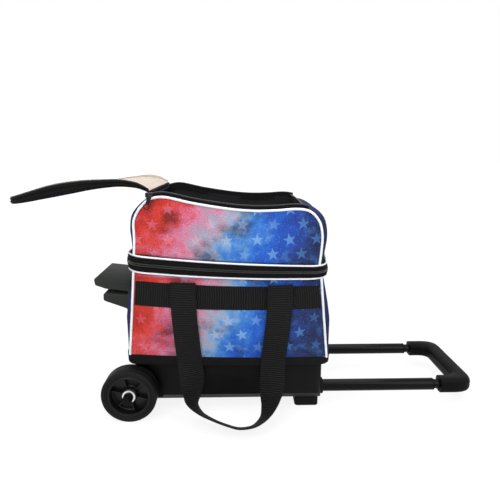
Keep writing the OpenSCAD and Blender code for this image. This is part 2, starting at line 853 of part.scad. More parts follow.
function upper_outline(e) = concat(
  [[-upper_hw + e, zip_z1 + e], [-upper_hw + e, zip_z1 + 20]],
  arc([-top_x, rim_left - shoulder_r], shoulder_r - e, 180, 90),
  arc([top_x, rim_right - shoulder_r], shoulder_r - e, 90, 0),
  [[upper_hw - e, zip_z1 + 20], [upper_hw - e, zip_z1 + e]]);

// Shares of the bow up the upper panels, from the main zip to the rim
front_rise = [[0, 1], [0.45, 0.75], [0.75, 0.3], [0.92, 0]];
back_rise = [[0, 0], [0.3, 0.5], [0.6, 0.5], [0.92, 0]];

function rim_z(x) = lookup(x, [[-top_x, rim_left], [top_x, rim_right]]);

function upper_bow(x, z, bow, rise) =
  bow * belly_curve(x) * lookup((z - zip_z1) / (rim_z(x) - zip_z1), rise);

module upper_panel(bow, rise) {
  cols = 28;
  shares = [0, 0.15, 0.3, 0.45, 0.6, 0.75, 0.92, 1.1];
  function skin(lift) = [for (v = shares) [for (j = [0:cols])
    let (x = (upper_hw + cut) * (2 * j / cols - 1), z = zip_z1 + (rim_z(x) - zip_z1) * v)
    [x, -half_d - upper_bow(x, z, bow, rise) - lift, z]]];
  intersection() {
    thick_sheet(skin(0), skin(-panel_t));
    xz(-2 * half_d, 0) polygon(upper_outline(0));
  }
}

module upper_front_panel() {
  color([0.4, 0.4, 0.75]) upper_panel(front_belly, front_rise);
}

module upper_back_panel() {
  color([0.4, 0.4, 0.75]) scale([1, -1, 1]) upper_panel(back_belly, back_rise);
}

function bend(p, q, s, t) = (1 - t) * (1 - t) * p + 2 * t * (1 - t) * q + t * t * s;

function bend_normal(p, q, s, t) =
  let (d = unit((1 - t) * (q - p) + t * (s - q))) [d[1], -d[0]];

// A side gusset over the curve p, q, s in the XZ plane, bulging outward
module gusset(p, q, s) {
  rows = 13;
  rise = [[0, side_rise[2][1]], [0.35, 1], [1, 0]];
  function skin(lift) = [for (i = [0:rows - 1])
    let (t = i / (rows - 1), c = bend(p, q, s, t), n = bend_normal(p, q, s, t))
    [for (j = [0:side_cols - 1])
      let (u = 2 * j / (side_cols - 1) - 1, e = side_bulge * end_curve(u) * lookup(t, rise) - lift)
      [c[0] + n[0] * e, in_d * u, c[1] + n[1] * e]]];
  thick_sheet(skin(0), skin(panel_t - 1));
}

right_end = [top_x + 17, rim_right - 3];
right_knee = [upper_hw, rim_right + 2];
left_end = [-hinge_x + 0.8, hinge_z - hinge_r - run_gap];
left_knee = [upper_hw, rim_left - shoulder_r / 2];

module upper_left_side() {
  color([0.05, 0.06, 0.16]) scale([-1, 1, 1]) gusset([upper_hw, zip_z1], left_knee, left_end);
}

module upper_right_side() {
  color([0.05, 0.06, 0.16]) gusset([upper_hw, zip_z1], right_knee, right_end);
}

module divider_board() {
  color([0.16, 0.16, 0.17])
  slab(zip_hw - panel_t - run_gap, in_d - run_gap, zip_corner_r - panel_t, zip_mid + zip_split + 2,
    zip_mid + zip_split + 2 + board_t);
}

module upper_zip_band() {
  color([0.05, 0.05, 0.055]) zip_hoop(zip_mid + zip_split, zip_z1);
}

// The cord round one upper face, lifted clear of the bow at its inner edge
module face_cord(bow, rise) {
  low = zip_z1 + piping_strip + 0.6;
  path = [for (p = upper_outline(piping_r)) [p[0], max(p[1], low)]];
  lifts = [for (p = upper_outline(2.2 * piping_r)) upper_bow(p[0], max(p[1], low), bow, rise)];
  y = half_d + piping_r + sewn_gap;
  n = len(path);
  sides = 10;
  ring_bar([for (i = [0:n - 1])
    let (d = unit(path[min(i + 1, n - 1)] - path[max(i - 1, 0)]), m = [d[1], -d[0]])
    [for (j = [0:sides - 1]) let (a = 360 * j / sides, e = path[i] + piping_r * cos(a) * m)
      [e[0], -y - lifts[i] + piping_r * sin(a), e[1]]]]);
}

module upper_piping() {
  color([0.9, 0.9, 0.88]) {
    face_cord(front_belly, front_rise);
    scale([1, -1, 1]) face_cord(back_belly, back_rise);
    zip_strip(zip_z1);
  }
}

module shoe_zip_tape() {
  x0 = -top_x;
  x1 = top_x + 6;
  down = 8;
  up = 4;
  color([0.05, 0.05, 0.055]) {
    both_sides() xz(-in_d, -in_d + tape_t) polygon([
      [x0, rim_left - down], [x1, rim_right - down], [x1, rim_right + up], [x0, rim_left + up]]);
    box(right_end[0] - tape_t - run_gap, right_end[0] - run_gap, -in_d + 6, in_d - 6,
      rim_right - 14, rim_right + up);
  }
}

// Shoe flap, drawn shut in its own frame and then swung open about its hinge

module flap_open() {
  translate([hinge_x, 0, hinge_z]) rotate([0, -180 - flap_droop, 0]) children();
}

flap_steps = 14;
flap_x0 = 3;

function flap_z(x) = let (t = x / flap_l) -4 * flap_arch * t * (1 - t);

// A layer of the flap between two depths under its outer face
module flap_layer(top, bottom) {
  xs = [for (i = [0:flap_steps]) flap_x0 - cut + (flap_l - flap_x0 + 2 * cut) * i / flap_steps];
  xz(-in_d, in_d) polygon(concat(
    [for (x = xs) [x, flap_z(x) - top]],
    [for (i = [flap_steps:-1:0]) [xs[i], flap_z(xs[i]) - bottom]]));
}

module flap_plan(inset, x0) {
  hw = flap_hw - inset;
  r = flap_tip_r - inset;
  x1 = flap_l - inset;
  translate([0, 0, -flap_l]) linear_extrude(2 * flap_l) polygon(concat(
    [[x0, -hw]], arc([x1 - r, r - hw], r, -90, 0), arc([x1 - r, hw - r], r, 0, 90), [[x0, hw]]));
}

module flap_panel() {
  color([0.45, 0.3, 0.6])
  flap_open() {
    intersection() {
      flap_layer(-hinge_r / 2, flap_t - hinge_r / 2);
      flap_plan(0, flap_x0);
    }
    rod_y(0, 0, hinge_r, -flap_hw, flap_hw, 1);
    box(0, flap_x0 + cut, -flap_hw, flap_hw, -1, 0.6);
  }
}

module flap_lining() {
  color([0.78, 0.70, 0.56])
  flap_open() intersection() {
    flap_layer(flap_t - hinge_r / 2, flap_t - hinge_r / 2 + lining_t);
    flap_plan(skirt_t + run_gap, flap_x0 + 4);
  }
}

module flap_skirt() {
  color([0.05, 0.05, 0.055])
  flap_open() difference() {
    intersection() {
      flap_layer(flap_t - hinge_r / 2, flap_t - hinge_r / 2 + skirt_h);
      flap_plan(0, flap_x0 + 6);
    }
    flap_plan(skirt_t, 0);
  }
}

// Zip sliders and pulls

module shoe_zip_slider() {
  color([0.12, 0.12, 0.125])
  translate([shoe_slider_x, shoe_slider_y, shoe_slider_z]) {
    box(-slider_l / 2, slider_l / 2, -slider_w, 0, 0, slider_h);
    box(-2, 2, -slider_w - pull_stem, -slider_w, slider_h - 5, slider_h);
  }
}

module pull_form() {
  difference() {
    translate([0, 0, -pull_l]) linear_extrude(pull_l + 3) polygon([
      [-pull_w / 2, -pull_t], [pull_w / 2, -pull_t], [pull_w / 2, 0], [-pull_w / 2, 0]]);
    translate([0, cut, 6 - pull_l]) rotate([90, 0, 0]) cylinder(r = 2, h = pull_t + 2 * cut);
  }
}

module shoe_zip_pull() {
  color([0.06, 0.06, 0.065])
  translate([shoe_slider_x, shoe_pull_y, shoe_slider_z + slider_h - 4]) pull_form();
}

module main_zip_slider() {
  color([0.12, 0.12, 0.125])
  translate([main_slider_x, main_slider_y, zip_mid - slider_h]) {
    box(0, slider_w - 2, -slider_l / 2, slider_l / 2, 0, 2 * slider_h);
    box(0, slider_w, -2, 2, slider_h - 3, slider_h + 3);
  }
}

module main_zip_pull() {
  color([0.06, 0.06, 0.065])
  translate([main_slider_x + slider_w + run_gap, main_slider_y, zip_mid]) rotate([0, 0, 90]) pull_form();
}

// Carry straps: hand-set route points from the left sewn end round the hanging loop to the right one,
// each as [x from the middle, y outward from the pivot line, z under the pivot line, turn in degrees]
strap_route = [
  [-0.5, 0, 1.4, 0], [-0.495, 0.4, -20, 0], [-0.475, 0.8, -60, 0], [-0.458, 2, -98, 4],
  [-0.436, 5, -134, 20], [-0.436, 10, -158, 46], [-0.436, 19, -174, 68], [-0.35, 32, -182, 82],
  [-0.19, 45, -188, 90], [0, 56, -193, 92], [0.11, 59, -194, 90], [0.24, 55, -191, 84],
  [0.345, 43, -184, 72], [0.395, 29, -174, 52], [0.415, 17, -160, 30], [0.428, 8, -140, 12],
  [0.438, 2, -98, 0], [0.46, 0.8, -60, 0], [0.485, 0.4, -20, 0], [0.5, 0, 1.4, 0]];
strap_tilt = 30;
// How far a sewn end's inner edge stands out from the strap's line, as a share of the bow
strap_lift = belly_curve(strap_mid_x - (strap_pitch - strap_w) / 2) - belly_curve(strap_pitch / 2);
strap_drop = (strap_pivot_z - 18) / 194;

function strap_at(i, bow, swell) =
  let (p = strap_route[max(0, min(i, len(strap_route) - 1))], x = strap_pitch * p[0],
    z = strap_pivot_z + min(p[2], p[2] * strap_drop))
  [strap_mid_x + x, -strap_y - p[1] - bow * (belly_curve(x) + strap_lift) * swell_at(z, swell), z, p[3]];

function curve4(a, b, c, d, t) =
  0.5 * (2 * b + (c - a) * t + (2 * a - 5 * b + 4 * c - d) * t * t + (3 * b - a - 3 * c + d) * t * t * t);

module strap(bow, swell) {
  steps = 3;
  last = (len(strap_route) - 1) * steps;
  mids = [for (k = [0:last]) let (i = floor(k / steps), t = k / steps - i)
    curve4(strap_at(i - 1, bow, swell), strap_at(i, bow, swell), strap_at(i + 1, bow, swell),
      strap_at(i + 2, bow, swell), t)];
  rings = [for (k = [0:last])
    let (a = mids[max(k - 1, 0)], b = mids[min(k + 1, last)], turn = mids[k][3],
      d = k == 0 ? [0, 0, -1] : k == last ? [0, 0, 1] : unit([b[0] - a[0], b[1] - a[1], b[2] - a[2]]),
      flip = k > last / 2 ? -1 : 1,
      w = [flip * cos(turn), sin(turn) * cos(strap_tilt), -sin(turn) * sin(strap_tilt)],
      side = unit(w - (w * d) * d), face = cross(d, side),
      c = [mids[k][0], mids[k][1], mids[k][2]])
    [for (s = [[-1, -1], [1, -1], [1, 1], [-1, 1]]) c + s[0] * side * strap_w / 2 + s[1] * face * web_t / 2]];
  ring_bar(rings);
}

module front_strap() {
  color([0.06, 0.06, 0.065]) strap(front_belly, front_swell);
}

module back_strap() {
  color([0.06, 0.06, 0.065]) scale([1, -1, 1]) strap(back_belly, back_swell);
}

module place() {
  translate([frame_x, 0, 0]) children();
}

place() base_tray();
place() rest_feet();
place() axle_housing();
place() base_screws();
place() axle();
place() axle_washers();
place() axle_caps();
place() stand_bracket();
place() bracket_rivets();
place() floor_board();
place() ball_cup();
place() fixed_tubes();
place() tube_anchors();
place() tube_collars();
place() trim_band();
place() lower_front_panel();
place() lower_back_panel();
place() lower_left_side();
place() lower_right_side();
place() web_bands();
place() strap_ends();
place() lower_piping();
place() lower_zip_band();
place() back_hinge_tape();
place() front_tyre();
place() front_rim();
place() front_bush();
place() back_tyre();
place() back_rim();
place() back_bush();
place() mid_tubes();
place() mid_tube_bushes();
place() mid_tube_plugs();
place() inner_tubes();
place() inner_tube_plugs();
place() grip_upper();
place() grip_lower();
place() grip_screws();
place() release_button();
place() release_yoke();
place() release_rods();
place() button_spring();
place() upper_front_panel();
place() upper_back_panel();
place() upper_left_side();
place() upper_right_side();
place() divider_board();
place() upper_zip_band();
place() upper_piping();
place() shoe_zip_tape();
place() flap_panel();
place() flap_lining();
place() flap_skirt();
place() shoe_zip_slider();
place() shoe_zip_pull();
place() main_zip_slider();
place() main_zip_pull();
place() front_strap();
place() back_strap();
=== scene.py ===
"""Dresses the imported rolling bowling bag: stuffed body, webbing, zips, moulded base and pull handle."""
import functools
import json
import logging
import math
from collections.abc import Callable, Iterator, Sequence
from contextlib import contextmanager
from dataclasses import dataclass
from enum import Enum
from typing import ClassVar

import bpy
from mathutils import Matrix, Vector, noise


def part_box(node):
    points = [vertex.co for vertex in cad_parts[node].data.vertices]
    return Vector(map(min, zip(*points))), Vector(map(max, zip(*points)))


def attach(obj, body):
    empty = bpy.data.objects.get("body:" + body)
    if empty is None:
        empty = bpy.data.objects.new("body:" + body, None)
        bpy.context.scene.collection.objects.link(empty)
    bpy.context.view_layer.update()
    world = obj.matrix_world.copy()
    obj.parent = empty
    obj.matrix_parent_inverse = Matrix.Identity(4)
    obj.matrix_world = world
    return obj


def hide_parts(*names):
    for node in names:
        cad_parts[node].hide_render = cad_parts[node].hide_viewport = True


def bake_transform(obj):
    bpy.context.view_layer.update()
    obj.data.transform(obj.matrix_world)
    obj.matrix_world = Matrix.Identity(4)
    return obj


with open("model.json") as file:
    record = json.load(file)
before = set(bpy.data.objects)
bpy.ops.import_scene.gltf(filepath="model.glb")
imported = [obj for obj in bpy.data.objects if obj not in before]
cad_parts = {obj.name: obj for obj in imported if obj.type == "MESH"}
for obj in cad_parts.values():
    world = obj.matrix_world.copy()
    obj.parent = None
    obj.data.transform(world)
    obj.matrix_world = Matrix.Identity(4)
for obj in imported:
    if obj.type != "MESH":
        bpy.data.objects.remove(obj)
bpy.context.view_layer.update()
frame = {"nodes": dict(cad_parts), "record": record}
LOG = logging.getLogger("bowling_bag")
TRAY_X = sum(corner.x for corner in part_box("base_tray")) / 2
AXLE = (-183.0, 0.0, 50.8)
Point = Sequence[float]
Pair = tuple[float, float]
Steps = tuple[Pair, ...]
Colour = tuple[float, float, float, float]
Stops = tuple[tuple[float, Colour], ...]
Spread = Callable[[float, float], Vector]
Piece = bpy.types.Object


class Way(Enum):
    """A side of the bag, whose value is the sign of its axis."""

    @property
    def word(self) -> str:
        """The side's name as its pieces carry it."""
        return self.name.lower()

    def turned(self, profile: Sequence[Pair]) -> list[Pair]:
        """A lathe profile laid on this side of the middle."""
        return [(radius, self.value * run) for radius, run in profile]


class Side(Way):
    """The two long faces of the bag, with the sign of their Y."""

    FRONT = -1
    BACK = 1


class End(Way):
    """The two short ends of the bag, with the sign of their X."""

    LEFT = -1
    RIGHT = 1


def at(x: float, y: float, z: float) -> Vector:
    """Turns millimetres from the middle of the tray into a point of the frame in metres."""
    return Vector((x / 1000 + TRAY_X, y / 1000, z / 1000))


def tint(red: float, green: float, blue: float) -> Colour:
    """Turns a colour as seen on screen, 0 to 255, into the linear colour that a socket takes."""
    shares = [value / 255 for value in (red, green, blue)]
    return (*(s / 12.92 if s <= 0.04045 else ((s + 0.055) / 1.055) ** 2.4 for s in shares), 1.0)


def shaded(colour: Colour, gain: float, lift: float = 0.0) -> Colour:
    """A colour made lighter or darker, up to white."""
    return (*(min(1.0, value * gain + lift) for value in colour[:3]), 1.0)


def ease(share: float) -> float:
    """Turns a share into a smooth step from 0 to 1."""
    share = min(max(share, 0.0), 1.0)
    return share * share * (3 - 2 * share)


def ladder(steps: Sequence[Pair], place: float) -> float:
    """Reads a value between steps.

    Args:
        steps: Pairs of place and value in rising order.
        place: Where to read.

    Returns:
        The value there, level beyond the first and last step.
    """
    if place <= steps[0][0]:
        return steps[0][1]
    for (low, start), (high, stop) in zip(steps, steps[1:]):
        if place <= high:
            return start + (stop - start) * (place - low) / (high - low)
    return steps[-1][1]


class Trace:
    """A smooth line through given points, read by its share of the length."""

    RUNS: ClassVar[int] = 10
    NEAR: ClassVar[float] = 0.004

    def __init__(self, points: Sequence[Point], closed: bool = False) -> None:
        """Runs a curve through the points, in short straight runs.

        Args:
            points: Places that the line passes through.
            closed: Whether the last point leads back to the first.
        """
        knots = [Vector(point) for point in points]
        count = len(knots)
        self.dense: list[Vector] = []
        for index in range(count if closed else count - 1):
            around = (index - 1, index, index + 1, index + 2)
            a, b, c, d = (knots[spot % count if closed else min(max(spot, 0), count - 1)] for spot in around)
            for step in range(self.RUNS):
                t = step / self.RUNS
                self.dense.append(0.5 * (2 * b + (c - a) * t + (2 * a - 5 * b + 4 * c - d) * t * t
                                         + (3 * b - a - 3 * c + d) * t ** 3))
        self.dense.append(knots[0].copy() if closed else knots[-1].copy())
        self.marks = [0.0]
        for before, after in zip(self.dense, self.dense[1:]):
            self.marks.append(self.marks[-1] + (after - before).length)

    @property
    def length(self) -> float:
        """Length of the whole line."""
        return self.marks[-1]

    def at(self, share: float) -> Vector:
        """Point at a share of the length."""
        goal = min(max(share, 0.0), 1.0) * self.length
        low, high = 0, len(self.marks) - 1
        while high - low > 1:
            middle = (low + high) // 2
            low, high = (middle, high) if self.marks[middle] <= goal else (low, middle)
        run = self.marks[high] - self.marks[low]
        return self.dense[low].lerp(self.dense[high], (goal - self.marks[low]) / run if run else 0.0)

    def along(self, share: float) -> Vector:
        """Unit direction at a share of the length."""
        return (self.at(share + self.NEAR) - self.at(share - self.NEAR)).normalized()


def operator(sign: str, swapped: bool = False) -> Callable[["Wire", "Wire | float"], "Wire"]:
    """An operator of a wire, as the Math operation of that sign."""
    def apply(wire: "Wire", other: "Wire | float") -> "Wire":
        """The wire and the other value through the operation."""
        return wire.by(sign, other, swapped)

    return apply


class Wire:
    """One output of a shader node, whose arithmetic adds Math nodes."""

    def __init__(self, nodes: "Nodes", node: bpy.types.Node, key: int | str = 0) -> None:
        """Keeps the node and which of its outputs is meant."""
        self.nodes, self.node, self.key = nodes, node, key

    @property
    def socket(self) -> bpy.types.NodeSocket:
        """The output socket itself."""
        return self.node.outputs[self.key]

    def out(self, key: int | str) -> "Wire":
        """Another output of the same node."""
        return Wire(self.nodes, self.node, key)

    def by(self, sign: str, other: "Wire | float" = 0.0, swapped: bool = False) -> "Wire":
        """This value through a Math operation, in second place where swapped."""
        pair = {0: other, 1: self} if swapped else {0: self, 1: other}
        return self.nodes.node("ShaderNodeMath", {"operation": sign}, pair)

    __add__, __radd__ = operator("ADD"), operator("ADD", True)
    __sub__, __rsub__ = operator("SUBTRACT"), operator("SUBTRACT", True)
    __mul__, __rmul__ = operator("MULTIPLY"), operator("MULTIPLY", True)
    __truediv__, __rtruediv__ = operator("DIVIDE"), operator("DIVIDE", True)
    __gt__ = operator("GREATER_THAN")


class Nodes:
    """A node tree that code fills."""

    def __init__(self, tree: bpy.types.NodeTree) -> None:
        """Keeps the tree."""
        self.tree = tree

    def feed(self, socket: bpy.types.NodeSocket, value: object) -> None:
        """Links a wire to a socket, or sets a plain value on it."""
        if isinstance(value, Wire):
            self.tree.links.new(value.socket, socket)
        else:
            socket.default_value = value

    def node(self, kind: str, settings: dict[str, object], feeds: dict[int | str, object]) -> Wire:
        """Adds a node.

        Args:
            kind: Blender's type name of the node.
            settings: Properties set before anything is linked.
            feeds: Values or wires by input name or number.

        Returns:
            Its first output.
        """
        made = self.tree.nodes.new(kind)
        for key, value in settings.items():
            setattr(made, key, value)
        for key, value in feeds.items():
            self.feed(made.inputs[key], value)
        return Wire(self, made)

    def step(self, value: Wire, low: float, high: float, start: float = 0.0, stop: float = 1.0,
             how: str = "SMOOTHSTEP") -> Wire:
        """A value moved from the range low to high into the range start to stop."""
        feeds = {0: value, 1: low, 2: high, 3: start, 4: stop}
        return self.node("ShaderNodeMapRange", {"interpolation_type": how}, feeds)

    def seen(self) -> Wire:
        """One where the camera looks, straight, in a reflection or through glass, and otherwise zero."""
        path = self.node("ShaderNodeLightPath", {}, {})
        rays = [path.out(f"Is {kind} Ray") for kind in ("Camera", "Transmission", "Glossy")]
        return rays[0].by("MAXIMUM", rays[1]).by("MAXIMUM", rays[2])

    def place(self, kind: str = "Object") -> Wire:
        """Coordinates on the piece: Object, or UV in metres."""
        return self.node("ShaderNodeTexCoord", {}, {}).out(kind)

    def axes(self, place: Wire) -> tuple[Wire, Wire, Wire]:
        """The three numbers of a place."""
        parts = self.node("ShaderNodeSeparateXYZ", {}, {0: place})
        return parts.out(0), parts.out(1), parts.out(2)


class Dye(Nodes):
    """One node material round a single Principled shader."""

    def __init__(self, name: str) -> None:
        """Starts the material under its name."""
        self.material = bpy.data.materials.new(name)
        self.material.use_nodes = True
        super().__init__(self.material.node_tree)
        self.shader = self.tree.nodes["Principled BSDF"]

    def cloud(self, place: Wire, scale: float, detail: float = 3.0) -> Wire:
        """Soft noise from 0 to 1."""
        return self.node("ShaderNodeTexNoise", {}, {"Vector": place, "Scale": scale, "Detail": detail})

    def stretch(self, place: Wire, scale: Point) -> Wire:
        """A place scaled by its own amount along each axis."""
        return self.node("ShaderNodeMapping", {}, {"Vector": place, "Scale": tuple(scale)})

    def mix(self, share: Wire | float, low: object, high: object, how: str = "MIX") -> Wire:
        """Two colours mixed by a share."""
        settings = {"data_type": "RGBA", "blend_type": how, "clamp_factor": True}
        return self.node("ShaderNodeMix", settings, {0: share, 6: low, 7: high}).out(2)

    def ramp(self, share: Wire, stops: Stops) -> Wire:
        """A colour read from stops along a share."""
        made = self.node("ShaderNodeValToRGB", {}, {0: share})
        band = made.node.color_ramp.elements
        band[0].position, band[0].color = stops[0]
        band[1].position, band[1].color = stops[-1]
        for position, colour in stops[1:-1]:
            band.new(position).color = colour
        return made

    def bump(self, height: Wire, depth: float) -> Wire:
        """A bump of the given depth in metres."""
        return self.node("ShaderNodeBump", {}, {"Distance": depth, "Height": height})

    def dress(self, **sockets: object) -> None:
        """Sets the shader's sockets, each named with underscores for spaces."""
        for key, value in sockets.items():
            self.feed(self.shader.inputs[key.replace("_", " ")], value)


@dataclass(frozen=True)
class Finish:
    """A finish with a name, painted once as a node material."""

    name: str

    @functools.cached_property
    def material(self) -> bpy.types.Material:
        """The painted material."""
        dye = Dye(self.name)
        self.paint(dye)
        return dye.material

    def paint(self, dye: Dye) -> None:
        """Builds the nodes of the finish."""
        raise NotImplementedError


@dataclass(frozen=True)
class StarPrint(Finish):
    """Printed cloth with a clouded red to blue wash and plain scattered stars; reads UV in metres."""

    span: float = 0.352
    column: float = 0.052
    row: float = 0.026
    tip: float = 0.0122
    waist: float = 0.4
    lower_middle: float = 0.198
    upper_middle: float = 0.35
    slant: float = 1.3
    threads: float = 7400.0
    murk: Colour = tint(104, 88, 112)
    wash: Stops = (
        (0.0, tint(192, 42, 32)), (0.1, tint(218, 60, 46)), (0.17, tint(222, 74, 74)),
        (0.24, tint(222, 108, 138)), (0.31, tint(216, 144, 174)), (0.37, tint(186, 156, 178)),
        (0.43, tint(176, 174, 198)), (0.49, tint(134, 176, 220)), (0.56, tint(72, 140, 222)),
        (0.66, tint(38, 102, 212)), (0.79, tint(34, 78, 182)), (0.9, tint(38, 60, 126)),
        (1.0, tint(32, 44, 86)))
    stars: Stops = (
        (0.0, tint(228, 96, 122)), (0.3, tint(236, 158, 188)), (0.45, tint(206, 190, 208)),
        (0.58, tint(152, 204, 240)), (0.8, tint(104, 166, 232)), (1.0, tint(72, 124, 196)))

    def paint(self, dye: Dye) -> None:
        """Clouds the wash, folds each cell into a five-point star and adds the weave."""
        place = dye.place("UV")
        x, z, _ = dye.axes(place)
        cloud, blot, spray = (dye.cloud(place, *grain) for grain in ((11.0, 4.0), (48.0, 6.0), (520.0, 3.0)))
        high = z > (self.lower_middle + self.upper_middle) / 2
        rise = z - self.lower_middle - high * (self.upper_middle - self.lower_middle)
        share = (x / self.span + 0.525 - high * 0.025 - rise * self.slant
                 + (cloud - 0.5) * 0.38 + (blot - 0.5) * 0.32 + (spray - 0.5) * 0.2)
        wash, pale = dye.ramp(share, self.wash), dye.ramp(share, self.stars)
        dark = dye.step(dye.cloud(dye.stretch(place, (15.0, 21.0, 1.0)), 1.0, 5.0), 0.48, 0.7)
        wash = dye.mix(dark * 0.78, wash, dye.mix(1.0, wash, self.murk, "MULTIPLY"))
        haze = dye.cloud(dye.stretch(place, (34.0, 40.0, 1.0)), 1.0, 6.0)
        wash = dye.mix(dye.step(haze, 0.54, 0.78) * 0.5, wash, pale)
        colour = dye.mix(self.star(dye, x, z, share) * (0.35 + blot * 0.75), wash, pale)
        fleck = dye.step(dye.cloud(place, 300.0, 2.0), 0.56, 0.7)
        colour = dye.mix(fleck * haze * 0.55, colour, pale)
        grain = dye.ramp(spray, ((0.3, tint(212, 212, 212)), (0.7, tint(255, 255, 255))))
        weave = (x * self.threads).by("SINE") * (z * self.threads).by("SINE")
        height = weave * 0.35 + dye.cloud(place, 160.0, 4.0)
        dye.dress(Base_Color=dye.mix(1.0, colour, grain, "MULTIPLY"), Roughness=0.62 + blot * 0.25,
                  Normal=dye.bump(height, 0.0004), Specular_IOR_Level=0.25)

    def star(self, dye: Dye, x: Wire, z: Wire, share: Wire) -> Wire:
        """Where a star covers the cloth, and how strongly.

        Args:
            dye: The material.
            x: Place across in metres.
            z: Place up in metres.
            share: Place along the wash, which thins the stars out toward its start.

        Returns:
            Cover from 0 to 1.
        """
        row = (z / self.row).by("FLOOR")
        run = x / self.column + row * 0.5
        column = run.by("FLOOR")
        cell = dye.node("ShaderNodeCombineXYZ", {}, {0: column, 1: row})
        luck = dye.node("ShaderNodeTexWhiteNoise", {"noise_dimensions": "2D"}, {"Vector": cell})
        turn, drift, rise = dye.axes(luck.out("Color"))
        across = (run - column - 0.5) * self.column + (drift - 0.5) * 0.007
        up = (z / self.row - row - 0.5) * self.row + (rise - 0.5) * 0.002
        fifth = math.tau / 5
        bearing = across.by("ARCTAN2", up) + (turn - 0.5) * 0.5 + fifth / 2
        fold = (bearing.by("FLOORED_MODULO", fifth) - fifth / 2).by("ABSOLUTE")
        reach = (across * across + up * up).by("SQRT") / self.tip
        notch = Vector((self.waist * math.cos(fifth / 2), self.waist * math.sin(fifth / 2)))
        lean = Vector((notch.y, 1 - notch.x)).normalized()
        edge = (reach * fold.by("COSINE") - 1.0) * lean.x + reach * fold.by("SINE") * lean.y
        inside = dye.step(edge, -0.06, 0.03, 1.0, 0.0)
        chance = dye.step(share, 0.2, 0.55, 0.24, 0.06, "LINEAR")
        keen = dye.step(luck.out("Value"), 0.0, 1.0, 0.35, 1.0, "LINEAR")
        return inside * (luck.out("Value") > chance) * keen


@dataclass(frozen=True)
class Woven(Finish):
    """Plain woven cloth in one colour."""

    colour: Colour
    thread: float = 0.0011
    worn: float = 0.25

    def paint(self, dye: Dye) -> None:
        """Crosses two thread waves, fades the colour in soft patches as wear and paints the thread crests a
        little lighter as a painted highlight.
        """
        place = dye.place()
        x, y, z = dye.axes(place)
        turn = math.tau / self.thread
        threads = ((x + y) * turn).by("SINE") * ((z + y * 0.4) * turn).by("SINE")
        patch = dye.cloud(place, 26.0, 4.0)
        light = shaded(self.colour, 1 + 2.2 * self.worn, 0.012 * self.worn)
        # The patch term is wear; the threads term is a painted highlight on the raised threads.
        colour = dye.mix(patch * 0.7 + threads * 0.2, self.colour, light)
        height = threads * 0.5 + dye.cloud(place, 320.0, 2.0)
        dye.dress(Base_Color=colour, Roughness=0.72 + patch * 0.2, Normal=dye.bump(height, 0.00035),
                  Specular_IOR_Level=0.12)


@dataclass(frozen=True)
class RibbedWeb(Finish):
    """Black webbing whose ribs cross it, with painted highlights on the rib crests and painted shade in the
    grooves; reads UV in metres, with V along the ribs' row.
    """

    colour: Colour = tint(5, 5, 5)
    crest_highlight: Colour = tint(38, 38, 37)
    rib: float = 0.0042
    yarn: float = 0.0021

    def paint(self, dye: Dye) -> None:
        """Raises the ribs, breaks each into small yarn knots and paints the raised parts lighter as a painted
        highlight.
        """
        place = dye.place("UV")
        u, v, _ = dye.axes(place)
        wave = (u * 190.0).by("SINE") * 0.0005 + (dye.cloud(place, 60.0, 2.0) - 0.5) * 0.004
        ribs = ((v + wave) * (math.tau / self.rib)).by("SINE") * 0.5 + 0.5
        knots = (u * (math.tau / self.yarn)).by("SINE") * 0.5 + 0.5
        fuzz = dye.cloud(place, 420.0, 3.0)
        # Painted highlight and shade: the higher a rib, knot or fuzz, the nearer its colour to the pale crest
        # highlight; the grooves stay near black.
        colour = dye.mix(ribs * (0.45 + knots * 0.35) * (0.6 + fuzz * 0.5), self.colour, self.crest_highlight)
        dye.dress(Base_Color=colour, Roughness=0.55 + fuzz * 0.25,
                  Normal=dye.bump(ribs * 0.8 + knots * 0.25 + fuzz * 0.2, 0.0011),
                  Specular_IOR_Level=0.12)


@dataclass(frozen=True)
class Cording(Finish):
    """White piping cloth with faint grime."""

    colour: Colour = tint(228, 230, 236)
    dirt: Colour = tint(198, 204, 214)

    def paint(self, dye: Dye) -> None:
        """Lays a fine grain and pale grey patches over the white."""
        place = dye.place()
        grime = dye.cloud(place, 40.0, 4.0)
        grain = dye.cloud(place, 1500.0, 2.0)
        colour = dye.mix((grime - 0.45) * 0.8, self.colour, self.dirt)
        dye.dress(Base_Color=colour, Roughness=0.5 + grain * 0.2, Normal=dye.bump(grain, 0.0001))


@dataclass(frozen=True)
class Moulded(Finish):
    """Grained moulded plastic or rubber."""

    colour: Colour
    rough: float = 0.5
    grain: float = 1400.0
    depth: float = 0.00006
    gloss: float = 0.5

    def paint(self, dye: Dye) -> None:
        """Grains the skin, dulls it in patches and leaves a few pale rubs."""
        place = dye.place()
        grain = dye.cloud(place, self.grain, 2.0)
        patch = dye.cloud(place, 14.0, 5.0)
        rub = dye.cloud(dye.stretch(place, (60.0, 60.0, 220.0)), 1.0, 5.0)
        faded = (patch - 0.35) * 0.9 + (rub > 0.68) * 0.25
        colour = dye.mix(faded, self.colour, shaded(self.colour, 1.7, 0.006))
        dye.dress(Base_Color=colour, Roughness=self.rough + (patch - 0.5) * 0.22 + (rub > 0.7) * 0.08,
                  Normal=dye.bump(grain, self.depth), Specular_IOR_Level=self.gloss)


@dataclass(frozen=True)
class Metal(Finish):
    """Bright or brushed metal."""

    colour: Colour
    rough: float = 0.25
    streak: Point = (40.0, 900.0, 900.0)

    def paint(self, dye: Dye) -> None:
        """Draws fine streaks that vary the shine."""
        place = dye.place()
        streak = dye.cloud(dye.stretch(place, self.streak), 1.0, 3.0)
        dye.dress(Base_Color=dye.mix(streak, shaded(self.colour, 0.72), self.colour), Metallic=1.0,
                  Roughness=self.rough + (streak - 0.5) * 0.2, Normal=dye.bump(streak, 0.00003))


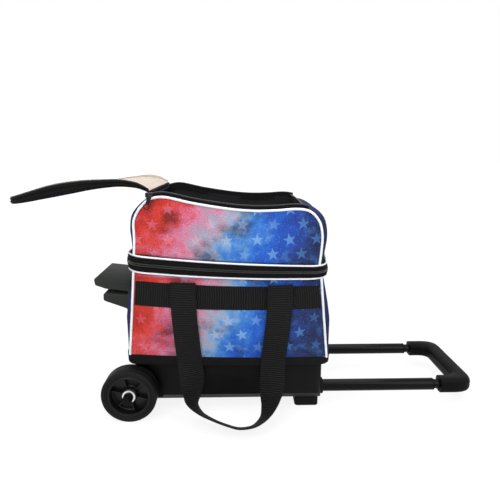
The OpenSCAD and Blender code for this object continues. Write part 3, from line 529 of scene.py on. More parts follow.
@dataclass(frozen=True)
class Lacquer(Finish):
    """Glossy black coating on the pull tubes."""

    colour: Colour = tint(6, 6, 8)
    worn: Colour = tint(16, 17, 20)

    def paint(self, dye: Dye) -> None:
        """Gives a clear coat, long sliding marks and a little orange peel."""
        place = dye.place()
        marks = dye.cloud(dye.stretch(place, (8.0, 700.0, 700.0)), 1.0, 4.0)
        peel = dye.cloud(place, 260.0, 2.0)
        colour = dye.mix((marks - 0.5) * 0.8, self.colour, self.worn)
        dye.dress(Base_Color=colour, Roughness=0.1 + marks * 0.14, Normal=dye.bump(peel, 0.00004),
                  Specular_IOR_Level=0.09, Coat_Weight=0.05, Coat_Roughness=0.05)


@dataclass(frozen=True)
class ZipTeeth(Finish):
    """Zip coil or teeth, with painted highlights on the teeth and painted shade between them; reads UV in
    metres, with V along the chain.
    """

    gap_shade: Colour = tint(8, 8, 8)
    crest_highlight: Colour = tint(36, 37, 39)
    tooth: float = 0.0024

    def paint(self, dye: Dye) -> None:
        """Cuts the chain into teeth, painting their crests lighter as a painted highlight and the gaps darker
        as painted shade.
        """
        _, v, _ = dye.axes(dye.place("UV"))
        teeth = (v * (math.tau / self.tooth)).by("SINE") * 0.5 + 0.5
        # Painted shade in the gaps and painted highlight on the crests, following the teeth's bump.
        dye.dress(Base_Color=dye.mix(teeth, self.gap_shade, self.crest_highlight), Roughness=0.3 + teeth * 0.2,
                  Normal=dye.bump(teeth, 0.0008))


class Shop(Enum):
    """The finishes in use."""

    PRINT = StarPrint("star_print")
    NAVY = Woven("navy_side_cloth", tint(24, 34, 74))
    BLACK = Woven("black_zip_cloth", tint(9, 9, 9), 0.0012, 0.4)
    INNER = Woven("inner_cloth", tint(26, 26, 28), 0.0009, 0.3)
    CREAM = Woven("cream_lining", tint(206, 194, 182), 0.0008, 0.08)
    WEB = RibbedWeb("ribbed_webbing")
    CORDING = Cording("white_cording")
    TRAY = Moulded("tray_plastic", tint(6, 6, 6), 0.5, gloss=0.1)
    BRACKET = Moulded("bracket_plastic", tint(36, 38, 35), 0.6, gloss=0.22)
    GRIP = Moulded("grip_plastic", tint(7, 7, 8), 0.5, 900.0, 0.00012, 0.06)
    FOOT = Moulded("foot_rubber", tint(8, 8, 8), 0.75, 700.0, 0.00015, 0.15)
    TYRE = Moulded("tyre_rubber", tint(10, 10, 10), 0.6, 1100.0, 0.0001, 0.15)
    RIM = Moulded("rim_plastic", tint(13, 13, 14), 0.4, gloss=0.26)
    NYLON = Moulded("inner_nylon", tint(150, 150, 145), 0.5)
    BOARD = Moulded("stiffener_board", tint(62, 62, 65), 0.7)
    FOAM = Moulded("foam_seat", tint(48, 48, 50), 0.9, 500.0, 0.0004, 0.2)
    STEEL = Metal("plain_steel", (0.55, 0.55, 0.57, 1.0), 0.32)
    CHROME = Metal("bright_washer", (0.8, 0.81, 0.83, 1.0), 0.14)
    ZIP = Metal("dark_zip_metal", (0.03, 0.03, 0.033, 1.0), 0.38)
    TUBE = Lacquer("tube_lacquer")
    TEETH = ZipTeeth("zip_teeth")

    @property
    def material(self) -> bpy.types.Material:
        """The finish as a material."""
        return self.value.material


class Bench:
    """Modelling steps that the pieces share; each leaves its object alone in the selection."""

    MEET: ClassVar[float] = 1e-5
    FLAT: ClassVar[float] = math.radians(1.5)
    FRAMES: ClassVar[int] = 20
    QUALITY: ClassVar[int] = 5

    @staticmethod
    def pick(obj: Piece) -> Piece:
        """Selects one object alone and makes it active."""
        bpy.ops.object.select_all(action="DESELECT")
        obj.select_set(True)
        bpy.context.view_layer.objects.active = obj
        return obj

    @staticmethod
    def take(name: str) -> Piece:
        """Names the primitive that was just added."""
        obj = bpy.context.object
        obj.name = obj.data.name = name
        return Bench.pick(obj)

    @staticmethod
    def sheet(name: str, across: int, along: int, place: Spread, size: Pair = (1.0, 1.0),
              weld: bool = False) -> Piece:
        """Lays a grid over a surface.

        Args:
            name: Name of the piece.
            across: Faces along U.
            along: Faces along V.
            place: Point of the surface at shares U and V.
            size: Lengths in metres that U and V stand for in the UV map.
            weld: Whether edges that meet are joined.

        Returns:
            The new object.
        """
        bpy.ops.object.select_all(action="DESELECT")
        bpy.ops.mesh.primitive_grid_add(x_subdivisions=across, y_subdivisions=along, size=1.0)
        obj = Bench.take(name)
        shares = [(vert.co.x + 0.5, vert.co.y + 0.5) for vert in obj.data.vertices]
        layer = obj.data.uv_layers.active.data
        for loop in obj.data.loops:
            u, v = shares[loop.vertex_index]
            layer[loop.index].uv = (u * size[0], v * size[1])
        for vert, (u, v) in zip(obj.data.vertices, shares):
            vert.co = place(u, v)
        if weld:
            Bench.weld(obj)
        return obj

    @staticmethod
    @contextmanager
    def edit(obj: Piece) -> Iterator[None]:
        """Opens a piece for editing with all of it selected."""
        Bench.pick(obj)
        bpy.ops.object.mode_set(mode="EDIT")
        bpy.ops.mesh.select_all(action="SELECT")
        yield
        bpy.ops.object.mode_set(mode="OBJECT")

    @staticmethod
    def weld(obj: Piece) -> Piece:
        """Joins points that meet and turns the faces outward."""
        with Bench.edit(obj):
            bpy.ops.mesh.remove_doubles(threshold=Bench.MEET)
            bpy.ops.mesh.normals_make_consistent(inside=False)
        return obj

    @staticmethod
    def block(name: str, size: Point, bevel: float, segments: int) -> Piece:
        """A block at the origin, its size in millimetres, with rounded edges."""
        bpy.ops.object.select_all(action="DESELECT")
        bpy.ops.mesh.primitive_cube_add(size=1.0)
        obj = Bench.take(name)
        with Bench.edit(obj):
            bpy.ops.transform.resize(value=tuple(length / 1000 for length in size))
        return Bench.round_edges(obj, bevel, segments)

    @staticmethod
    def modify(obj: Piece, kind: str, **settings: object) -> Piece:
        """Adds a modifier, sets it and applies it."""
        Bench.pick(obj)
        step = obj.modifiers.new(kind.title(), kind)
        for key, value in settings.items():
            setattr(step, key, value)
        bpy.ops.object.modifier_apply(modifier=step.name)
        return obj

    @staticmethod
    def thicken(obj: Piece, thickness: float, offset: float = -1.0, lined: bool = False) -> Piece:
        """Gives a sheet its thickness in millimetres, with a second material inside where it is lined."""
        return Bench.modify(obj, "SOLIDIFY", thickness=thickness / 1000, offset=offset, use_even_offset=True,
                            material_offset=1 if lined else 0)

    @staticmethod
    def round_edges(obj: Piece, width: float, segments: int = 2, angle: float = 35.0) -> Piece:
        """Rounds the sharp edges by a width in millimetres."""
        return Bench.modify(obj, "BEVEL", width=width / 1000, segments=segments, limit_method="ANGLE",
                            angle_limit=math.radians(angle), use_clamp_overlap=True, miter_outer="MITER_ARC")

    @staticmethod
    def refine(obj: Piece) -> Piece:
        """Subdivides smoothly once and shades soft."""
        return Bench.smooth(Bench.modify(obj, "SUBSURF", levels=1, render_levels=1), 60)

    @staticmethod
    def smooth(obj: Piece, angle: float = 35.0) -> Piece:
        """Shades smooth across edges flatter than the angle."""
        Bench.pick(obj)
        bpy.ops.object.shade_smooth_by_angle(angle=math.radians(angle))
        return obj

    @staticmethod
    def tube(name: str, line: Sequence[Vector], radius: float, closed: bool = False,
             sides: int = 10) -> Piece:
        """Rolls a round cord along a line.

        Args:
            name: Name of the piece.
            line: Points of the line in metres.
            radius: Radius in millimetres.
            closed: Whether the line is a loop.
            sides: Faces round the cord.

        Returns:
            The cord as a mesh whose UV runs round it and along it in metres.
        """
        count = len(line)
        rows = count if closed else count - 1
        length = sum((after - before).length for before, after in zip(line[:rows], [*line[1:], line[0]]))
        side = Vector((0.3, -0.5, 0.8))
        frames = []
        for index, point in enumerate(line):
            ahead = line[(index + 1) % count] if closed else line[min(index + 1, count - 1)]
            behind = line[index - 1] if closed else line[max(index - 1, 0)]
            way = (ahead - behind).normalized()
            side = (side - way * side.dot(way)).normalized()
            frames.append((point, side.copy(), way.cross(side)))
        if closed:
            frames.append(frames[0])

        def place(u: float, v: float) -> Vector:
            """Point round and along the cord."""
            point, right, up = frames[min(round(v * rows), len(frames) - 1)]
            turn = u * math.tau
            return point + (right * math.cos(turn) + up * math.sin(turn)) * (radius / 1000)

        obj = Bench.sheet(name, sides, rows, place, (math.tau * radius / 1000, length), weld=True)
        if not closed:
            Bench.cap(obj)
        return Bench.smooth(obj, 50)

    @staticmethod
    def cap(obj: Piece) -> Piece:
        """Fills the open ends of a piece."""
        with Bench.edit(obj):
            bpy.ops.mesh.select_all(action="DESELECT")
            bpy.ops.mesh.select_mode(type="EDGE")
            bpy.ops.mesh.select_non_manifold(use_wire=False, use_boundary=True, use_multi_face=False,
                                             use_non_contiguous=False, use_verts=False)
            bpy.ops.mesh.edge_face_add()
            bpy.ops.mesh.select_all(action="SELECT")
            bpy.ops.mesh.normals_make_consistent(inside=False)
        return obj

    @staticmethod
    def lathe(name: str, profile: Sequence[Pair], centre: Point, axis: str = "Y",
              steps: int = 72) -> Piece:
        """Turns a closed profile round an axis.

        Args:
            name: Name of the piece.
            profile: Pairs of radius and place along the axis in millimetres, in a closed loop.
            centre: A point of the axis in millimetres.
            axis: Which axis to turn round.
            steps: Faces round the turn.

        Returns:
            The new object.
        """
        count = len(profile)

        def place(u: float, v: float) -> Vector:
            """Point at a turn and a place on the profile."""
            radius, run = profile[round(v * count) % count]
            turn = u * math.tau
            a, b = radius * math.cos(turn), radius * math.sin(turn)
            x, y, z = {"X": (run, a, b), "Y": (a, run, b), "Z": (a, b, run)}[axis]
            return at(centre[0] + x, centre[1] + y, centre[2] + z)

        return Bench.smooth(Bench.sheet(name, steps, count, place, weld=True))

    @staticmethod
    def cast(node: str, name: str, bevel: float, segments: int = 3) -> Piece:
        """Copies a CAD node's form as a new merged piece with clean flat faces and rounded edges."""
        obj = bpy.data.objects.new(name, frame["nodes"][node].data.copy())
        obj.data.name = name
        obj.data.materials.clear()
        bpy.context.scene.collection.objects.link(obj)
        with Bench.edit(Bench.weld(obj)):
            bpy.ops.mesh.dissolve_limited(angle_limit=Bench.FLAT)
        return Bench.smooth(Bench.round_edges(obj, bevel, segments))

    @staticmethod
    def join(name: str, parts: Sequence[Piece]) -> Piece:
        """Joins pieces of one finish into one piece under a name."""
        Bench.pick(parts[0])
        for part in parts[1:]:
            part.select_set(True)
        bpy.ops.object.join()
        parts[0].name = name
        return parts[0]

    @staticmethod
    def puff(obj: Piece, seam: Callable[[Vector], float], pressure: float, most: float) -> Piece:
        """Blows a closed panel up like sewn padding by cloth simulation.

        Args:
            obj: A closed slab.
            seam: How firmly a point is held, from 0 to 1.
            pressure: Air pressure of the cloth.
            most: The furthest that a point may move, in millimetres.

        Returns:
            The same object with its swollen shape applied.
        """
        start = [vert.co.copy() for vert in obj.data.vertices]
        held = obj.vertex_groups.new(name="seam")
        for vert in obj.data.vertices:
            held.add([vert.index], seam(vert.co), "REPLACE")
        Bench.pick(obj)
        step = obj.modifiers.new("Padding", "CLOTH")
        step.settings.quality = Bench.QUALITY
        step.settings.use_pressure = True
        step.settings.uniform_pressure_force = pressure
        step.settings.vertex_group_mass = "seam"
        step.settings.effector_weights.gravity = 0.0
        step.point_cache.frame_start, step.point_cache.frame_end = 1, Bench.FRAMES
        for number in range(1, Bench.FRAMES + 1):
            bpy.context.scene.frame_set(number)
        bpy.ops.object.modifier_apply(modifier=step.name)
        bpy.context.scene.frame_set(1)
        for vert, rest in zip(obj.data.vertices, start):
            move = vert.co - rest
            if move.length > most / 1000:
                vert.co = rest + move.normalized() * (most / 1000)
        obj.vertex_groups.clear()
        return obj


def hand_in(obj: Piece, finish: Shop, slot: str, body: str | None, *nodes: str) -> Piece:
    """Dresses a finished piece and hangs it on its body.

    Args:
        obj: The piece.
        finish: Its finish, placed first where the piece has none yet.
        slot: The record's material slot; not used.
        body: The body that it rides on, or None, which leaves it on no body.
        nodes: CAD nodes that it stands for.

    Returns:
        The same piece.
    """
    if not obj.data.materials:
        obj.data.materials.append(finish.material)
    if body:
        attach(obj, body)
    if nodes:
        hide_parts(*nodes)
    LOG.info("%s: %d faces on %s", obj.name, len(obj.data.polygons), body or "a blend")
    return obj


def sewn(obj: Piece, width: float, thick: float, *under: str, held: str = "stretched") -> None:
    """Logs a strip of cloth's cut size; the length it was cut to is what its own faces come to.

    Args:
        obj: The strip.
        width: Width that it was cut to, in millimetres.
        thick: Its thickness in millimetres.
        under: Pieces that it lies on; not used.
        held: How it is held; not used.
    """
    area = sum(face.area for face in obj.data.polygons)
    length = area / (2 * (width + thick) / 1000)
    LOG.info("%s is cut to %.1f by %.0f mm", obj.name, width, length * 1000)


@dataclass(frozen=True)
class BagForm:
    """Places on the stuffed fabric body, in millimetres from the middle of the tray."""

    half_depth: float = 120.0
    trim_low: float = 104.0
    trim_top: float = 121.0
    zip_low: float = 277.0
    zip_split: float = 289.0
    zip_top: float = 301.0
    foot_half: float = 181.0
    zip_half: float = 166.0
    belly_half: float = 172.0
    bulge: float = 18.0
    crease: float = 1.5
    bulge_rise: Steps = ((0.0, 0.55), (0.4, 1.0), (1.0, 0.67))
    square: Steps = ((0.0, 6.0), (0.6, 6.0), (1.0, 2.5))
    front_belly: Steps = (
        (100, 5), (121, 8), (160, 15), (205, 20), (265, 21), (303, 20), (350, 14.5), (412, 6))
    back_belly: Steps = (
        (104, 0), (121, 2), (160, 8), (205, 11), (250, 6), (277, 0), (301, 0), (330, 4), (360, 5), (412, 2))
    tilt: Steps = (
        (90, 0.0), (121, 0.026), (216, 0.027), (262, 0.034), (278, 0.044), (303, 0.062))

    def belly(self, side: Side, x: float, z: float) -> float:
        """How far the stuffed face stands out at a place."""
        steps = self.front_belly if side is Side.FRONT else self.back_belly
        return ladder(steps, z) * max(0.0, 1 - (x / self.belly_half) ** 2)

    def lean(self, x: float, y: float, z: float) -> float:
        """How much the slack body hangs up or down at a place, most along its front."""
        return -x * ladder(self.tilt, z) * ease((20 - y) / 140)

    def share(self, z: float) -> float:
        """How far up the lower panels a height lies, from 0 to 1."""
        return min(max((z - self.trim_top) / (self.zip_low - self.trim_top), 0.0), 1.0)

    def half(self, z: float) -> float:
        """Half the width of the body's faces at a height."""
        return self.foot_half + (self.zip_half - self.foot_half) * self.share(z)

    def swell(self, y: float, z: float, depth: float) -> float:
        """How far a stuffed end stands out at a place, where its edges lie at the given depth."""
        share = self.share(z)
        across = max(0.0, 1 - abs(y / depth) ** ladder(self.square, share))
        return self.bulge * ladder(self.bulge_rise, share) * across

    def slack(self, side: Side, x: float, z: float) -> float:
        """Soft creases of a lower face, which end at its seams."""
        edge = min(self.half(z) - abs(x), z - self.trim_top, self.zip_low - z)
        return self.crease * noise.noise(Vector((x * 0.017, z * 0.021, 4.0 * side.value))) * ease(edge / 25)

    def face(self, side: Side, x: float, z: float, out: float = 0.0) -> Vector:
        """Point on the front or back face, or out from it."""
        y = side.value * (self.half_depth + self.belly(side, x, z) + self.slack(side, x, z) + out)
        return at(x, y, z + self.lean(x, side.value * self.half_depth, z))

    def hoop(self, z: float, out: float, half: float, corner: float, count: int = 180) -> list[Vector]:
        """A level ring round the body.

        Args:
            z: Height before the body's lean.
            out: How far the ring stands out from the faces.
            half: Half the width of the ring.
            corner: Corner radius.
            count: Points wanted.

        Returns:
            Points of the ring in metres, from the middle of the right end by way of the front.
        """
        plan: list[Pair] = []
        depth, run = self.half_depth + out, half - corner
        bend = corner * (1 - math.sqrt(0.5))
        rungs = [(depth - corner) * step for step in (0.0, 0.3, 0.6, 0.85, 1.0)]
        ends = [(half + self.swell(y, z, depth), y) for y in rungs]
        ends.append((half - bend + self.swell(depth - bend, z, depth), depth - bend))
        for side in Side:
            face = [(run * step, depth + self.belly(side, run * step, z))
                    for step in (1.0, 0.8, 0.55, 0.28, 0.0, -0.28, -0.55, -0.8, -1.0)]
            loop = [*ends, *face, *((-x, y) for x, y in reversed(ends[1:]))]
            plan.extend((-side.value * x, side.value * y) for x, y in loop)
        line = Trace(plan, closed=True)
        ring = [line.at(index / count) for index in range(count)]
        return [at(p.x, p.y, z + self.lean(p.x, p.y, z)) for p in ring]


BAG = BagForm()


def ring_sheet(name: str, profile: Sequence[tuple[float, float, float]], corner: float) -> Piece:
    """Sweeps a profile round the bag.

    Args:
        name: Name of the piece.
        profile: Rows from low to high, each its height, how far it stands out, and half its width.
        corner: Corner radius of the ring.

    Returns:
        A closed ring of cloth, one sheet thick.
    """
    rows = [BAG.hoop(z, out, half, corner) for z, out, half in profile]
    count, steps = len(rows[0]), len(rows) - 1
    height = abs(profile[-1][0] - profile[0][0]) / 1000

    def place(u: float, v: float) -> Vector:
        """Point round the ring and up its profile."""
        return rows[round(v * steps)][round(u * count) % count]

    return Bench.sheet(name, count, steps, place, (1.16, height), weld=True)


def print_map(obj: Piece, plan: Callable[[Vector], Pair]) -> None:
    """Sets a piece's UV map in metres from its points."""
    layer = obj.data.uv_layers.active.data
    for loop in obj.data.loops:
        layer[loop.index].uv = plan(obj.data.vertices[loop.vertex_index].co)


def crumple(obj: Piece, depth: float, scale: float, seed: float) -> None:
    """Moves points along their normals by soft fixed noise.

    Args:
        obj: The piece.
        depth: Largest move in millimetres.
        scale: Waves per metre.
        seed: Offset that gives each piece its own creases.
    """
    for vert in obj.data.vertices:
        place = vert.co * scale + Vector((seed, seed * 0.7, -seed))
        vert.co += vert.normal * (noise.noise(place) * depth / 1000)


@dataclass(frozen=True)
class Padding:
    """How a printed or plain panel is padded, lined and hung."""

    finish: Shop
    slot: str
    body: str
    fill: float
    thick: float = 6.0
    pressure: float = 3.0
    most: float = 3.0
    stitch: float = 3.0
    rise: float = 12.0
    creases: Pair | None = None

    def sew(self, name: str, node: str, grid: tuple[int, int], place: Spread, rim: Callable[[Vector], float],
            drop: float | None = None, seed: float = 0.0) -> None:
        """Makes and hangs one panel.

        Args:
            name: Name of the piece.
            node: CAD node that it stands for.
            grid: Faces across and up.
            place: Point of its outer face at shares across and up.
            rim: How far a point lies from the nearest seam, in millimetres.
            drop: How far the print is shifted on it in metres, or None where it isn't printed.
            seed: Offset that gives it its own creases.
        """
        obj = Bench.sheet(name, *grid, place)
        if drop is not None:
            print_map(obj, lambda co: (co.x - TRAY_X, co.z + drop))
        for finish in (self.finish, Shop.INNER):
            obj.data.materials.append(finish.material)
        Bench.thicken(obj, self.thick, lined=True)
        Bench.puff(obj, lambda co: 1.0 - ease((rim(co) - self.stitch) / self.rise), self.pressure, self.most)
        if self.creases:
            crumple(obj, *self.creases, seed)
        Bench.refine(obj)
        hand_in(obj, self.finish, self.slot, self.body, node)


@dataclass(frozen=True)
class MainZip:
    """One half of the main zip.

    Each row is a place in from the piped edge, how far it stands out, and what it adds to half the width.
    """

    word: str
    part: str
    body: str
    edge: float
    inward: int
    wide: float = BAG.zip_half - 1.5
    corner: float = 22.0
    tape_width: float = 18.0
    tape_thick: float = 2.0
    coil: float = 1.3
    cord: float = 1.6
    coil_row: Point = (10.5, 6.4, 9.4)
    cord_row: Point = (-0.8, 4.6, 7.4)
    ridges: tuple[Point, ...] = (
        (-1.2, 1.5, 1), (-0.4, 4.4, 7.2), (1.6, 5.6, 8.2), (2.6, 6.6, 9.2), (3.4, 5.4, 8.4), (6.2, 5.8, 8.8),
        (7.0, 7.2, 10), (7.8, 5.8, 8.8), (9.8, 6.0, 9), (11.5, 5.8, 8.8))

    def sew(self) -> None:
        """Makes and hangs the ridged tape and its row of teeth."""
        rows = [self.level(row) for row in self.ridges][::self.inward]
        tape = Bench.thicken(ring_sheet(f"main_zip_tape_{self.word}", rows, self.corner), self.tape_thick)
        hand_in(Bench.smooth(tape, 40), Shop.BLACK, "black_fabric", self.body, f"{self.part}_zip_band")
        sewn(tape, self.tape_width, self.tape_thick, f"{self.part}_front_print")
        line = BAG.hoop(*self.level(self.coil_row), self.corner, 240)
        chain = Bench.tube(f"main_zip_teeth_{self.word}", line, self.coil, True, 8)
        hand_in(chain, Shop.TEETH, "black_fabric", self.body)

    def level(self, row: Point) -> tuple[float, float, float]:
        """A row's height, how far it stands out, and half its width."""
        return self.edge + self.inward * row[0], row[1], self.wide + row[2]

    def piping(self) -> Piece:
        """The white cord along the half's edge."""
        line = BAG.hoop(*self.level(self.cord_row), self.corner, 200)
        return Bench.tube(f"piping_{self.word}", line, self.cord, True)


@dataclass
class LowerBody:
    """The ball section: four padded panels, trim, webbing bands, piping and lower half of the main zip."""

    low: float = BAG.trim_top - 3
    high: float = BAG.zip_low + 1
    band_low: float = 216.8
    band_top: float = 260.6
    band_cut: Pair = (43.8, 2.0)
    trim_cut: Pair = (23.2, 2.0)
    trim_corner: float = 11.0
    cord: float = 2.2
    plate: Point = (62.0, 170.0, 252.0)
    hinge_reach: float = BAG.half_depth + 8.0
    hinge_long: float = 312.0
    seat: Steps = (
        (58.4, 57.1), (86.6, 57.1), (88, 58.4), (88, 69), (87, 72.4), (84.6, 74.4), (80, 75), (74.6, 74.8),
        (71, 73.2))
    body: ClassVar[str] = "bag_base"
    printed: ClassVar[Padding] = Padding(Shop.PRINT, "print_fabric", "bag_base", 0.7)
    navy: ClassVar[Padding] = Padding(Shop.NAVY, "navy_fabric", "bag_base", 0.7, rise=14.0,
                                      creases=(0.6, 15.0))
    zipper: ClassVar[MainZip] = MainZip("low", "lower", "bag_base", BAG.zip_low, 1)

    def build(self) -> None:
        """Builds and dresses every piece of the section."""
        for side in Side:
            self.face_panel(side)
        for end in End:
            self.end_panel(end)
        self.trim()
        self.bands()
        self.zipper.sew()
        self.hinge_tape()
        self.ball_seat()
        self.piping()

    def face_panel(self, side: Side) -> None:
        """A printed padded panel between trim and zip."""
        def place(u: float, v: float) -> Vector:
            """Point on the panel's outer face."""
            z = self.low + (self.high - self.low) * v
            return BAG.face(side, -side.value * (2 * u - 1) * (BAG.half(z) - 1.5), z)

        def rim(co: Vector) -> float:
            """Distance from the sewn edges and from under the band."""
            z = co.z * 1000
            under = max(self.band_low - z, z - self.band_top) + 6
            return min(z - self.low, self.high - z, BAG.half(z) - abs(co.x - TRAY_X) * 1000, under)

        self.printed.sew(f"lower_{side.word}_print", f"lower_{side.word}_panel", (64, 30), place, rim, 0.0)

    def end_panel(self, end: End) -> None:
        """A bulging navy panel at one end."""
        depth = BAG.half_depth - 1

        def place(u: float, v: float) -> Vector:
            """Point on the panel's outer face."""
            z = self.low + (self.high - self.low) * v
            y = end.value * (2 * u - 1) * depth
            x = end.value * (BAG.half(z) + BAG.swell(y, z, depth))
            return at(x, y, z + BAG.lean(x, y, z))

        def rim(co: Vector) -> float:
            """Distance from the sewn edges, and from under the stand's plate on the left."""
            y, z = abs(co.y) * 1000, co.z * 1000
            seam = min(z - self.low, self.high - z, depth - y)
            if end is End.RIGHT:
                return seam
            return min(seam, max(y - self.plate[0], self.plate[1] - z, z - self.plate[2]) + 3)

        self.navy.sew(f"lower_{end.word}_cloth", f"lower_{end.word}_side", (40, 28), place, rim,
                      seed=8.0 + end.value)

    def trim(self) -> None:
        """The black binding over the tray's rim, rolled at both edges."""
        low, top, wide = BAG.trim_low, BAG.trim_top, BAG.foot_half
        profile = [(low - 1, -3, wide - 4), (low, -0.4, wide - 1), (low + 2, 0.8, wide + 0.4),
                   (low + 6, 1.0, wide + 0.6), (top - 5, 1.6, wide + 0.6), (top - 1.5, 2.0, wide + 0.8),
                   (top + 0.6, 1.2, wide), (top + 1, -1, wide - 2)]
        obj = Bench.thicken(ring_sheet("tray_binding", profile, self.trim_corner), self.trim_cut[1])
        hand_in(Bench.smooth(obj, 60), Shop.BLACK, "black_fabric", self.body, "trim_band")
        sewn(obj, *self.trim_cut, "lower_front_print", "moulded_tray")

    def bands(self) -> None:
        """The wide webbing band across each face."""
        parts = []
        for side in Side:
            def place(u: float, v: float, side: Side = side) -> Vector:
                """Point on the band's outer face."""
                z = self.band_low + (self.band_top - self.band_low) * u
                x = -side.value * (2 * v - 1) * (BAG.half(z) - 5)
                return BAG.face(side, x, z, 0.6)

            obj = Bench.sheet(f"web_band_{side.word}", 12, 80, place, (0.044, 0.33))
            parts.append(Bench.thicken(obj, self.band_cut[1], 1.0))
        obj = Bench.smooth(Bench.join("web_bands_sewn", parts), 50)
        hand_in(obj, Shop.WEB, "webbing", self.body, "web_bands")
        sewn(obj, *self.band_cut, "lower_front_print", "lower_back_print")

    def hinge_tape(self) -> None:
        """Black cloth over the back of the main zip, on which the shoe section swings back."""
        low, high, wide = BAG.zip_low + 3, BAG.zip_top - 3, self.hinge_long

        def place(u: float, v: float) -> Vector:
            """Point up and along the tape."""
            y = self.hinge_reach + 0.6 * math.sin(u * math.pi)
            return at(wide * (0.5 - v), y, low + (high - low) * u)

        flat = ((high - low) / 1000, wide / 1000)
        obj = Bench.smooth(Bench.thicken(Bench.sheet("back_zip_hinge", 12, 60, place, flat), 1.0), 40)
        hand_in(obj, Shop.BLACK, "black_fabric", None, "back_hinge_tape")
        tuple(at(0, self.hinge_reach, BAG.zip_split - 5))
        tuple(at(0, self.hinge_reach, BAG.zip_split + 5))
        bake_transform(obj)

    def ball_seat(self) -> None:
        """The foam ring that the ball rests in."""
        obj = Bench.lathe("foam_ball_seat", self.seat, (0, 0, 0), "Z")
        hand_in(obj, Shop.FOAM, "foam", self.body, "ball_cup")

    def piping(self) -> None:
        """White cord round the zip's lower edge and down the four corners."""
        parts, steps = [self.zipper.piping()], 24
        for side in Side:
            for end in End:
                line = []
                for index in range(steps + 1):
                    z = BAG.trim_top + 0.5 + (BAG.zip_low - BAG.trim_top - 2) * index / steps
                    x = end.value * (BAG.half(z) - 0.8)
                    line.append(BAG.face(side, x, z, 0.4 + 0.4 * math.sin(index * 0.9)))
                parts.append(Bench.tube("piping_corner", line, self.cord))
        obj = Bench.join("lower_white_piping", parts)
        hand_in(obj, Shop.CORDING, "white_piping", self.body, "lower_piping")


